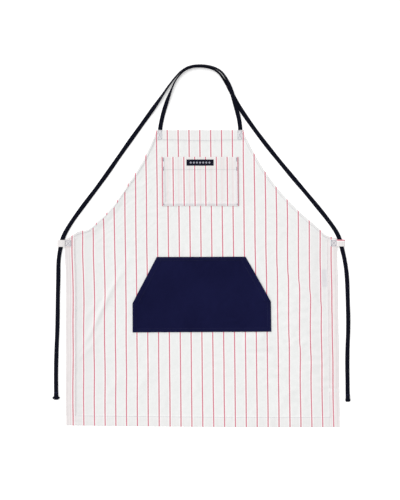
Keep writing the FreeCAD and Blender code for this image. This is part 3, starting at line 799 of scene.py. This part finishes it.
# How each strap stands up on its edge: (height on the plan, degrees), left and then right of the neck.
NEAR_CROSSING = [(470, 0), (487, 25), (502, 48), (515, 61), (535, 64)]
RIGHT_ROLL = ([(425, 0), (458, 32), (480, 66), (500, 82), (520, 82), (540, 68)], NEAR_CROSSING)
LEFT_ROLL = (
    [(422, 0), (440, 16), (452, 34), (464, 56), (480, 62), (508, 74), (540, 68)], NEAR_CROSSING,
)


def strap_frame(line, roll, outward):
    """Distance along a strap, and its sideways and upward directions at each of its points."""
    steps = np.linalg.norm(np.diff(line, axis=0), axis=1)
    along = np.concatenate([[0], np.cumsum(steps)])
    ahead = np.gradient(line, axis=0)
    ahead /= np.linalg.norm(ahead, axis=1)[:, None]
    side = np.cross(ahead, [0, 0, 1])
    side /= np.linalg.norm(side, axis=1)[:, None]
    up = np.cross(side, ahead)
    left, right = (np.interp(line[:, 1] / MM, *zip(*table)) for table in roll)
    turn = outward * np.radians(np.where(line[:, 0] < 0, left, right))
    turn = np.convolve(np.pad(turn, 12, mode="edge"), np.ones(25) / 25, mode="valid")[:, None]
    return along, side * np.cos(turn) + up * np.sin(turn), up * np.cos(turn) - side * np.sin(turn)


def braid_tube(name, line, frame_of_strap, half_wide, half_thick):
    """A flat tube of braid round a line, with a herringbone of ridges in its surface."""
    along, side, up = frame_of_strap
    around = np.linspace(0, math.tau, 25)[:-1]
    wide = np.sign(np.cos(around)) * np.abs(np.cos(around)) ** 0.62
    thick = np.sign(np.sin(around)) * np.abs(np.sin(around)) ** 0.8
    across = wide[None, :] * half_wide[:, None]
    ridges = np.sin((along[:, None] + 1.15 * np.abs(across)) * math.tau / (4.6 * MM))
    lift = half_thick[:, None] * thick[None, :] * (1 + 0.07 * ridges) * (1 - 0.10 * wide[None, :] ** 4)
    across = across * (1 + 0.012 * np.sin(along[:, None] * math.tau / (4.6 * MM)))
    rings = line[:, None, :] + side[:, None, :] * across[..., None] + up[:, None, :] * lift[..., None]
    points = np.concatenate([rings.reshape(-1, 3), line[:1], line[-1:]])
    count, last = len(line), len(around)
    faces = grid_faces(count, last, ring=True)[:, ::-1].tolist()
    first_cap, end_cap = count * last, count * last + 1
    for i in range(last):
        after = (i + 1) % last
        faces.append([first_cap, i, after])
        faces.append([end_cap, (count - 1) * last + after, (count - 1) * last + i])
    fold = np.concatenate([across.ravel(), [0, 0]])
    travel = np.concatenate([np.repeat(along, last), along[[0, -1]]])
    return new_object(name, points, faces, np.stack([travel, fold], axis=1))


def make_strap(side_name, route, roll, outward, tip_width):
    """One strap from the top hem to its tail's end."""
    line = smooth_line(f"{side_name}_strap_line", route)
    frame_of_strap = strap_frame(line, roll, outward)
    along = frame_of_strap[0]
    pinch = 1 - 0.45 * ridge(along, 9 * MM)
    uneven = 1 - 0.04 * np.sin(along * 61) * ridge(along - 0.6, 0.5)
    half_wide = np.full(len(line), BRAID_WIDTH / 2) * uneven
    half_thick = BRAID_THICKNESS / 2 * pinch
    strap = braid_tube(f"{side_name}_strap_braid", line, frame_of_strap, half_wide, half_thick)
    body = f"{side_name}_tail"
    replaced = [f"{side_name}_strap", f"{side_name}_strap_tail"]
    finish(strap, None, replaced, None, BRAID, sharp=70)
    end, tack = make_tie_end(side_name, line, body, tip_width)
    x, y, z = next(joint["pos_m"] for joint in frame["joints"] if joint["child"] == body)
    lean = math.copysign(1.5 * MM, x)
    bend = 13 * MM
    x - lean
    y + bend
    x + lean
    y - bend
    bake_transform(strap)


def make_tie_end(side_name, line, body, tip_width):
    """The strap's end turned back on itself and tacked down, bulky where it folds."""
    tip = line[-1]
    ahead = line[-1] - line[-12]
    ahead /= np.linalg.norm(ahead)
    side = np.cross(ahead, [0, 0, 1])
    rise = BRAID_THICKNESS * 0.86
    reach = np.linspace(0, 1, 26)
    turn = np.clip(reach / 0.3, 0, 1) * math.pi
    back = np.clip((reach - 0.3) / 0.7, 0, 1) * 17 * MM
    forward = 2.4 * MM * np.sin(turn) - back + 0.3 * MM
    height = rise * (1 - np.cos(turn)) / 2
    path = tip + ahead * forward[:, None] + np.array([0, 0, 1]) * height[:, None]
    up_turn = turn[:, None]
    up = -np.array([0, 0, 1]) * np.cos(up_turn) + ahead * np.sin(up_turn)
    along = np.concatenate([[0], np.cumsum(np.linalg.norm(np.diff(path, axis=0), axis=1))])
    sides = np.broadcast_to(side, path.shape)
    bulk = ridge(along - 7.5 * MM, 3.0 * MM)
    half_wide = BRAID_WIDTH / 2 + (tip_width - BRAID_WIDTH) / 2 * bulk
    half_wide = half_wide - 0.6 * MM * ramp(along, 17 * MM, 22 * MM)
    half_thick = BRAID_THICKNESS / 2 * (0.84 - 0.2 * bulk)
    end = braid_tube(f"{side_name}_tie_end_fold", path, (along, sides, -up), half_wide, half_thick)
    finish(end, body, [f"{side_name}_tie_end"], None, BRAID, sharp=70)
    centre = tip - ahead * 14.2 * MM + np.array([0, 0, rise + BRAID_THICKNESS * 0.42])
    tack = zigzag(f"{side_name}_tie_end_bar", centre - side * 4.1 * MM, centre + side * 4.1 * MM, 2.0 * MM)
    finish(tack, body, [f"{side_name}_tie_end_tack"], None, NAVY_THREAD)
    return end, tack


# ---------------------------------------------------------------- stitches
def one_stitch():
    """A single stitch, 1 m long along X and 1 m across, to be scaled to each place."""
    bpy.ops.object.select_all(action="DESELECT")
    bpy.ops.mesh.primitive_uv_sphere_add(segments=6, ring_count=5, radius=0.5, rotation=(0, math.pi / 2, 0))
    bpy.ops.object.transform_apply(location=False, rotation=True, scale=False)
    ball = bpy.context.object
    points = np.array([vertex.co for vertex in ball.data.vertices])
    points[:, 0] = np.sign(points[:, 0]) * 0.5 * (np.abs(points[:, 0]) * 2) ** 0.7
    faces = [list(face.vertices) for face in ball.data.polygons]
    bpy.data.objects.remove(ball, do_unlink=True)
    return points, faces


STITCH = one_stitch()


def stitches_object(name, starts, ends, width):
    """Stitches between pairs of points, each arched a little and sunk at its ends."""
    shape, shape_faces = STITCH
    points, faces = [], []
    for index, (start, end) in enumerate(zip(starts, ends)):
        run = end - start
        length = np.linalg.norm(run)
        ahead = run / length
        side = np.cross([0, 0, 1], ahead)
        side /= np.linalg.norm(side)
        up = np.cross(ahead, side)
        arch = 0.25 * width * (1 - (2 * shape[:, :1]) ** 2)
        points.append((start + end) / 2 + shape[:, :1] * length * ahead + shape[:, 1:2] * width * side
                      + (shape[:, 2:] * width + arch) * up)
        faces += [[corner + index * len(shape) for corner in face] for face in shape_faces]
    return new_object(name, np.concatenate(points), faces)


def seam_points(corners, pitch=STITCH_PITCH, share=0.78):
    """Plan points where each stitch of a seam starts and ends, along straight runs between corners."""
    corners = np.asarray(corners, float)
    lengths = np.concatenate([[0], np.cumsum(np.linalg.norm(np.diff(corners, axis=0), axis=1))])
    count = max(1, int(round(lengths[-1] / pitch)))
    begin = np.arange(count) * lengths[-1] / count
    leave = begin + lengths[-1] / count * share

    def on_path(at):
        return np.stack([np.interp(at, lengths, corners[:, i]) for i in (0, 1)], axis=1)

    return on_path(begin), on_path(leave)


def sew(name, paths, above, replaced, material, width=THREAD):
    """Rows of stitches. above gives the height of the sewn surface over the panel's middle."""
    starts, ends = [], []
    for path in paths:
        begin, end = seam_points(path)
        for points, kept in ((begin, starts), (end, ends)):
            kept.append(lay(points[:, 0], points[:, 1], above(points[:, 0], points[:, 1])))
    seam = stitches_object(name, np.concatenate(starts), np.concatenate(ends), width)
    finish(seam, "apron", replaced, None, material)


def zigzag(name, start, end, width):
    """A bar of close zigzag stitches from one point to another."""
    pitch = 0.55 * MM
    run = end - start
    length = np.linalg.norm(run)
    ahead = run / length
    side = np.cross([0, 0, 1], ahead)
    side /= np.linalg.norm(side)
    count = int(length / pitch)
    middle = start + ahead * (np.arange(count + 1) * pitch)[:, None]
    swing = np.where(np.arange(count + 1) % 2, 0.5, -0.5)[:, None] * width
    points = middle + side * swing
    return stitches_object(name, points[:-1], points[1:], 0.5 * MM)


def boxed_cross(x0, x1, y0, y1):
    """The corners that a boxed cross of stitching passes, in order."""
    return [(x0, y0), (x1, y0), (x1, y1), (x0, y1), (x0, y0), (x1, y1), (x1, y0), (x0, y1)]


def panel_top(u, v):
    """The height of the panel's own upper face."""
    return np.full(np.shape(u), PLY / 2 + 0.1 * MM)


def make_hem_seams():
    seam = WIDE_HEM - SEAM_INSET
    across = np.linspace(-1, 1, 41) * (half_width(TOP - seam) - 3 * MM)
    sew("seam_bib_hem_stitches", [np.stack([across, bib_hem_edge(across) + SEAM_INSET], axis=1)], panel_top,
        ["seam_bib_hem"], GREY_THREAD)
    foot = [[(-SIDE + seam, BOTTOM + seam), (SIDE - seam, BOTTOM + seam)]]
    sew("seam_bottom_hem_stitches", foot, panel_top, ["seam_bottom_hem"], GREY_THREAD)
    arm = ARMHOLE[4:-2:3]
    turn = np.array(inward(ARMHOLE[::-1, 0], ARMHOLE[::-1, 1])).T[::-1][4:-2:3]
    line = arm + turn * ARMHOLE_SEAM
    for side, sign in (("right", 1), ("left", -1)):
        upright = [[(sign * (SIDE - seam), BOTTOM + seam), (sign * (SIDE - seam), CORNER + 6 * MM)]]
        sew(f"seam_side_hem_{side}_stitches", upright, panel_top, [f"seam_side_hem_{side}"],
            GREY_THREAD)
        sew(f"seam_armhole_{side}_stitches", [line * np.array([sign, 1])], panel_top,
            [f"seam_armhole_{side}"], GREY_THREAD)


# ---------------------------------------------------------------- pockets
def chest_half(v):
    return np.full(np.shape(v), CHEST_HIGH.x)


def hand_half(v):
    return np.interp(v, [HAND_LOW.y, HAND_SHOULDER, HAND_HIGH.y], [HAND_HIGH.x, HAND_HIGH.x, HAND_TOP_HALF])


def chest_edge(u, v):
    """Distance from the chest pocket's sewn sides and foot, and from its open mouth."""
    sewn = np.minimum(chest_half(v) - np.abs(u), v - CHEST_LOW.y)
    return sewn, CHEST_HIGH.y - v


MOUTH_SLOPE = math.atan2(HAND_HIGH.x - HAND_TOP_HALF, HAND_HIGH.y - HAND_SHOULDER)


def hand_edge(u, v):
    """Distance from the hand pocket's sewn edges, and from its slanted open mouths."""
    mouth = (hand_half(v) - np.abs(u)) * math.cos(MOUTH_SLOPE)
    sides = np.where(v < HAND_SHOULDER, HAND_HIGH.x - np.abs(u), 1)
    sewn = np.minimum(np.minimum(sides, v - HAND_LOW.y), HAND_HIGH.y - v)
    return sewn, np.where(v < HAND_SHOULDER, 1, mouth)


def folded(distance, depth):
    """1 nearer an edge than the depth of its fold, and 0 further in."""
    return 1 - ramp(distance, depth - MM, depth + MM)


def pocket_height(edges, mouth_hem, puff, marks=()):
    """How high a pocket's cloth stands above the middle of the panel."""
    def height(u, v):
        sewn, mouth = edges(u, v)
        turned = folded(sewn, POCKET_TURNING)
        at_mouth = folded(mouth, mouth_hem)
        inside = ramp(sewn, 4 * MM, 45 * MM)
        open_edge = ridge(mouth, 26 * MM)
        stitched = ridge(sewn - POCKET_SEAM, 1.1 * MM)
        quilt = 0.12 * MM * np.sin((u + v) * math.tau / (17 * MM)) * ridge(sewn - 4 * MM, 7 * MM)
        lift = np.maximum(turned, 0.55 * at_mouth) * FOLD
        slack = puff * inside * (1 + 0.5 * open_edge) + creases(u, v, marks)[0] * inside
        return PLY + 0.2 * MM + lift + slack - 0.28 * MM * stitched + quilt
    return height


CHEST_HEIGHT = pocket_height(chest_edge, CHEST_HEM, 0.7 * MM)
HAND_HEIGHT = pocket_height(hand_edge, MOUTH_HEM, 1.1 * MM, POCKET_CREASES)


def boundary(rows, columns):
    """Numbers of a grid's outer points, anticlockwise from its first corner."""
    grid = np.arange(rows * columns).reshape(rows, columns)
    return np.concatenate([grid[0, :-1], grid[:-1, -1], grid[-1, :0:-1], grid[:0:-1, 0]])


# How far in and how far down the cloth goes at each step round a pocket's fold, in millimetres.
POCKET_FOLD = [(-0.4, 0.3), (-0.5, 0.6), (-0.3, 0.95), (0.4, 1.1)]


def make_pocket(name, low, high, half, edges, height, mouth_hem, material, replaced):
    """A patch of cloth with every edge folded under, sewn onto the panel."""
    near = [0, 1.2, 2.5, 3.8, 6.8, 8, 9.2, 12, 15.5]
    v = spread(low, high, near, near, 3.9 * MM)[:, None]
    reach = np.array(near) * MM
    inner = np.linspace(-1, 1, 61)[None, 1:-1] * (half(v) - reach[-1])
    u = np.concatenate([reach[None, :] - half(v), inner, (half(v) - reach[None, :])[:, ::-1]], axis=1)
    v = np.broadcast_to(v, u.shape)
    rows, columns = u.shape
    rim = boundary(rows, columns)
    rim_u, rim_v = u.ravel()[rim], v.ravel()[rim]
    back_u, back_v = rim_u - np.roll(rim_u, 1), rim_v - np.roll(rim_v, 1)
    on_u, on_v = np.roll(rim_u, -1) - rim_u, np.roll(rim_v, -1) - rim_v
    sides = ((back_u, back_v), (on_u, on_v))
    normals = [np.stack([-b, a], axis=1) / np.hypot(a, b)[:, None] for a, b in sides]
    into = normals[0] + normals[1]
    into /= np.maximum(0.5, (into * normals[0]).sum(axis=1))[:, None]
    points = [lay(u, v, height(u, v)).reshape(-1, 3)]
    plan = [np.stack([u.ravel(), v.ravel()], axis=1)]
    top = height(rim_u, rim_v)
    depth = np.where(edges(rim_u, rim_v)[1] < MM, mouth_hem, POCKET_TURNING)
    for reach_in, drop in POCKET_FOLD:
        at = plan[0][rim] + into * (reach_in * MM)
        floor = np.maximum(top - drop * MM, PLY + 0.05 * MM)
        points.append(lay(at[:, 0], at[:, 1], floor))
        plan.append(at)
    at = plan[0][rim] + into * depth[:, None]
    points.append(lay(at[:, 0], at[:, 1], np.full(len(rim), PLY + 0.15 * MM)))
    plan.append(at)
    faces = grid_faces(rows, columns).tolist()
    count, around = rows * columns, len(rim)
    rings = len(POCKET_FOLD) + 1
    loops = [rim] + [count + ring * around + np.arange(around) for ring in range(rings)]
    for outer, inner_loop in zip(loops, loops[1:]):
        for i in range(around):
            after = (i + 1) % around
            faces.append([outer[i], inner_loop[i], inner_loop[after], outer[after]])
    pocket = new_object(name, np.concatenate(points), faces, np.concatenate(plan))
    sewn, mouth = edges(*np.concatenate(plan).T)
    weights_attribute(pocket, "plies", 0.32 + 0.18 * folded(mouth, mouth_hem))
    weights_attribute(pocket, "beneath", 0.30 * folded(sewn, POCKET_TURNING))
    weights_attribute(pocket, "edge", ridge(np.minimum(sewn, mouth), 2.2 * MM))
    area = float(np.trapz(2 * half(v[:, 0]), v[:, 0]))
    finish(pocket, "apron", replaced, 0.5 * MM, material, sharp=60)
    flat = (2 * float(np.max(half(v))), high - low)


def make_chest_pocket():
    replaced = ["chest_pocket", "chest_pocket_top_hem", "chest_pocket_turning_left",
                "chest_pocket_turning_right", "chest_pocket_turning_bottom"]
    make_pocket("chest_pocket_patch", CHEST_LOW.y, CHEST_HIGH.y, chest_half, chest_edge, CHEST_HEIGHT,
                CHEST_HEM, CHEST_CLOTH, replaced)
    side, foot = CHEST_HIGH.x - POCKET_SEAM, CHEST_LOW.y + POCKET_SEAM
    mouth_seam = CHEST_HIGH.y - CHEST_HEM
    rows = [
        [(-side, CHEST_HIGH.y - MM), (-side, foot), (side, foot), (side, CHEST_HIGH.y - MM)],
        [(-side, mouth_seam), (side, mouth_seam)],
    ]

    def surface(u, v):
        return CHEST_HEIGHT(u, v) + 0.35 * MM

    sew("seam_chest_pocket_stitches", rows, surface, ["seam_chest_pocket"], GREY_THREAD)
    lengths_and_tops = [
        (11 * MM, CHEST_HIGH.y - 0.5 * MM),
        (10 * MM, mouth_seam + 7 * MM),
        (5 * MM, CHEST_LOW.y + 6 * MM),
    ]
    bars = []
    for sign in (-1, 1):
        bar_x = sign * (side - 1.2 * MM)
        for length, at in lengths_and_tops:
            line = np.array([(bar_x, at), (bar_x, at - length)])
            ends = lay(line[:, 0], line[:, 1], surface(line[:, 0], line[:, 1]) + 0.1 * MM)
            bars.append(zigzag("bar", ends[0], ends[1], 1.5 * MM))
    bars = join(bars, "chest_pocket_bar_tacks")
    finish(bars, "apron", ["tacks_chest_pocket"], None, SLATE_THREAD)


def join(objects, name):
    bpy.ops.object.select_all(action="DESELECT")
    for each in objects:
        each.select_set(True)
    bpy.context.view_layer.objects.active = objects[0]
    bpy.ops.object.join()
    joined = bpy.context.object
    joined.name = name
    return joined


def make_hand_pocket():
    replaced = ["hand_pocket", "hand_pocket_turning_top", "hand_pocket_turning_bottom",
                "hand_pocket_turning_left", "hand_pocket_turning_right",
                "hand_pocket_mouth_hem_left", "hand_pocket_mouth_hem_right"]
    make_pocket("hand_pocket_patch", HAND_LOW.y, HAND_HIGH.y, hand_half, hand_edge, HAND_HEIGHT,
                MOUTH_HEM, NAVY_CLOTH, replaced)

    def surface(u, v):
        return HAND_HEIGHT(u, v) + 0.35 * MM

    rows, mouths = [], []
    for inset in (POCKET_SEAM, POCKET_SEAM + TWIN_SEAM_GAP):
        side, foot, head = HAND_HIGH.x - inset, HAND_LOW.y + inset, HAND_HIGH.y - inset
        rows.append([(-side, HAND_SHOULDER), (-side, foot), (side, foot), (side, HAND_SHOULDER)])
        rows.append([(-HAND_TOP_HALF, head), (HAND_TOP_HALF, head)])
    inset = (MOUTH_HEM - SEAM_INSET) / math.cos(MOUTH_SLOPE)
    for sign in (-1, 1):
        mouths.append([(sign * (HAND_TOP_HALF - inset + 3 * MM), HAND_HIGH.y - 6 * MM),
                       (sign * (HAND_HIGH.x - inset), HAND_SHOULDER)])
    sew("seam_hand_pocket_stitches", rows, surface, ["seam_hand_pocket"], NAVY_THREAD)
    sew("seam_hand_pocket_mouth_stitches", mouths, surface, ["seam_hand_pocket_mouths"],
        NAVY_THREAD)


# ---------------------------------------------------------------- labels
def make_label(name, low, high, above, thickness, material, replaced):
    u, v = np.meshgrid(np.linspace(low.x, high.x, 36), np.linspace(low.y, high.y, 14))
    rim = np.minimum(np.minimum(u - low.x, high.x - u), np.minimum(v - low.y, high.y - v))
    height = above(u, v) - 0.18 * MM * ridge(rim, 0.9 * MM)
    label = grid_object(name, lay(u, v, height), np.stack([u, v], axis=2))
    finish(label, "apron", replaced, thickness, material)


def make_labels():
    """The woven label with its four seams, and the care label beneath the side hem."""
    def over(u, v):
        return CHEST_HEIGHT(u, v) + 0.55 * MM + 0.15 * MM * np.sin(u * 160)

    def seam_surface(u, v):
        return over(u, v) + 0.2 * MM

    def under(u, v):
        return -np.full(np.shape(u), PLY / 2 + 0.2 * MM)

    make_label("woven_label_patch", LABEL_LOW, LABEL_HIGH, over, 0.35 * MM, LABEL_SATIN,
               ["woven_label"])
    end_x, long_x = LABEL_HIGH.x - 1.4 * MM, LABEL_HIGH.x - 1.6 * MM
    foot, head = LABEL_LOW.y + 1.2 * MM, LABEL_HIGH.y - 1.2 * MM
    rows = [[(x, foot), (x, head)] for x in (-end_x, end_x)]
    rows += [[(-long_x, y), (long_x, y)] for y in (head, foot)]
    sew("seam_woven_label_stitches", rows, seam_surface, ["seam_woven_label"],
        NAVY_THREAD, width=0.45 * MM)
    make_label("care_label_tape", CARE_LOW, CARE_HIGH, under, 0.16 * MM, CARE_SATIN,
               ["care_label"])


# ---------------------------------------------------------------- side loops
def loop_profile():
    """The middle of the loop's cloth in X and Z: along the panel, over the strap and back beneath."""
    low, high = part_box("side_loop_right")
    bend = (high.z - low.z - FOLD) / 2
    tip = high.x - FOLD / 2
    front_z = PANEL_HIGH.z + FOLD / 2 + 0.1 * MM
    middle = low.z + FOLD / 2 + bend
    points = [
        (low.x, front_z), (low.x + 6 * MM, front_z), (SIDE - 3.5 * MM, front_z),
        (SIDE - MM, front_z + 0.5 * MM), (SIDE + 1.2 * MM, middle + bend - 0.35 * MM),
        (SIDE + 4 * MM, middle + bend), (tip - bend, middle + bend),
    ]
    for angle in np.linspace(75, -75, 7):
        turn = math.radians(angle)
        points.append((tip - bend + bend * math.cos(turn), middle + bend * math.sin(turn)))
    for x in (tip - bend, SIDE + 2 * MM, SIDE - 4 * MM, low.x):
        points.append((x, middle - bend))
    return np.array(points)


def make_loop(side_name, sign):
    low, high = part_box(f"side_loop_{side_name}")
    profile = loop_profile()
    y = spread(low.y, high.y, [0, 0.5, 1.4], [0, 0.5, 1.4], 2.2 * MM)
    edge = np.minimum(y - low.y, high.y - y)
    across, up = np.meshgrid(profile[:, 0], y)
    heights = np.broadcast_to(profile[:, 1], across.shape).copy()
    pull = ridge(up - (low.y + high.y) / 2, 6 * MM) * ridge(across - SIDE - 8 * MM, 6 * MM)
    heights += np.where(profile[:, 1] > 3 * MM, 0.25 * MM, 0)[None, :] * pull
    shift_u, shift_v, _ = moved(np.array([sign * SIDE]), np.array([(low.y + high.y) / 2]))
    points = np.stack([sign * across + shift_u, up + shift_v, heights], axis=2)
    travel = np.concatenate([[0], np.cumsum(np.hypot(*np.diff(profile, axis=0).T))])
    cloth_u = np.broadcast_to(travel, across.shape)
    cloth_v = up - (low.y + high.y) / 2 - (7.2 * MM if sign > 0 else 14 * MM)
    sewn = 1 - ramp(across, SIDE - 3 * MM, SIDE)
    cloth_v = cloth_v - 4 * MM * sewn
    plan = np.stack([cloth_u, cloth_v], axis=2)
    loop = grid_object(f"side_loop_{side_name}_tape", points[:, ::sign], plan[:, ::sign])
    weights_attribute(loop, "plies", 0.75 + 0 * sewn)
    weights_attribute(loop, "beneath", 0.35 * sewn)
    finish(loop, "apron", [f"side_loop_{side_name}"], 1.0 * MM, LOOP_CLOTH, sharp=50)
    x0, x1 = low.x if sign > 0 else high.x, SIDE * sign
    x0, x1 = x0 + sign * 2 * MM, x1 - sign * 1.8 * MM
    y0, y1 = low.y + 2 * MM, high.y - 2 * MM
    box_stitch(f"box_stitch_loop_{side_name}_thread", x0, x1, y0, y1, PANEL_HIGH.z + FOLD + 0.15 * MM,
               f"box_stitch_loop_{side_name}", (float(shift_u[0]), float(shift_v[0])))


def box_stitch(name, x0, x1, y0, y1, z, replaced, shift):
    """Four sides and a cross of close stitches."""
    corners = boxed_cross(x0, x1, y0, y1)
    starts, ends = [], []
    for first, second in zip(corners, corners[1:]):
        begin, end = seam_points([first, second], pitch=2.0 * MM, share=0.86)
        for points, kept in ((begin, starts), (end, ends)):
            kept.append(np.column_stack([points + np.array(shift), np.full(len(points), z)]))
    thread = stitches_object(name, np.concatenate(starts), np.concatenate(ends), 0.75 * MM)
    finish(thread, "apron", [replaced], None, SLATE_THREAD)


def make_anchor_stitches():
    """The boxes of stitching that hold the straps' ends in the top hem."""
    for side_name, sign in (("right", 1), ("left", -1)):
        low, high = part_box(f"box_stitch_anchor_{side_name}")
        corners = boxed_cross(low.x, high.x, low.y, high.y)
        sew(f"box_stitch_anchor_{side_name}_thread", [corners], panel_top, [f"box_stitch_anchor_{side_name}"],
            SLATE_THREAD, width=0.5 * MM)
        anchor = bpy.data.objects.get(f"strap_anchor_{side_name}")
        for material_slot in anchor.material_slots:
            material_slot.material = HIDDEN_BRAID


# ---------------------------------------------------------------- table, light and camera
def make_stage():
    bpy.ops.mesh.primitive_plane_add(size=30, location=(0, 0, -TABLE_DROP))
    table = bpy.context.object
    table.name = "pale_table"
    material = bpy.data.materials.new("pale_table_top")
    material.use_nodes = True
    shader = material.node_tree.nodes["Principled BSDF"]
    shader.inputs["Base Color"].default_value = (0.98, 0.98, 0.98, 1)
    shader.inputs["Roughness"].default_value = 0.9
    shader.inputs["Specular IOR Level"].default_value = 0.0
    shader.inputs["Emission Color"].default_value = (1, 1, 1, 1)
    shader.inputs["Emission Strength"].default_value = 0.26
    table.data.materials.append(material)

    world = bpy.data.worlds.new("soft_studio")
    world.use_nodes = True
    world.node_tree.nodes["Background"].inputs["Color"].default_value = (1, 1, 1, 1)
    world.node_tree.nodes["Background"].inputs["Strength"].default_value = 0.62
    bpy.context.scene.world = world
    window = bpy.data.lights.new("window", "SUN")
    window.energy = 2.1
    window.angle = math.radians(75)
    held = bpy.data.objects.new("window", window)
    bpy.context.collection.objects.link(held)
    held.rotation_euler = (math.radians(-24), math.radians(-36), 0)
    bpy.context.scene.view_settings.view_transform = "Standard"


def make_camera():
    """Straight above the apron, far enough off for hardly any perspective."""
    lens = bpy.data.cameras.new("overhead")
    lens.lens = 100
    lens.sensor_width = 36
    lens.clip_end = 50
    camera = bpy.data.objects.new("overhead", lens)
    bpy.context.collection.objects.link(camera)
    camera.location = (-3.1 * MM, 72.1 * MM, 3.575)
    bpy.context.scene.camera = camera


SETTLED = settle_cloth()
make_camera()
make_strap("right", RIGHT_ROUTE, RIGHT_ROLL, 1, 13.5 * MM)
make_strap("left", LEFT_ROUTE, LEFT_ROLL, -1, 20 * MM)
make_panel()
make_hems()
make_chest_pocket()
make_hand_pocket()
make_labels()
make_loop("right", 1)
make_loop("left", -1)
make_hem_seams()
make_anchor_stitches()
make_stage()
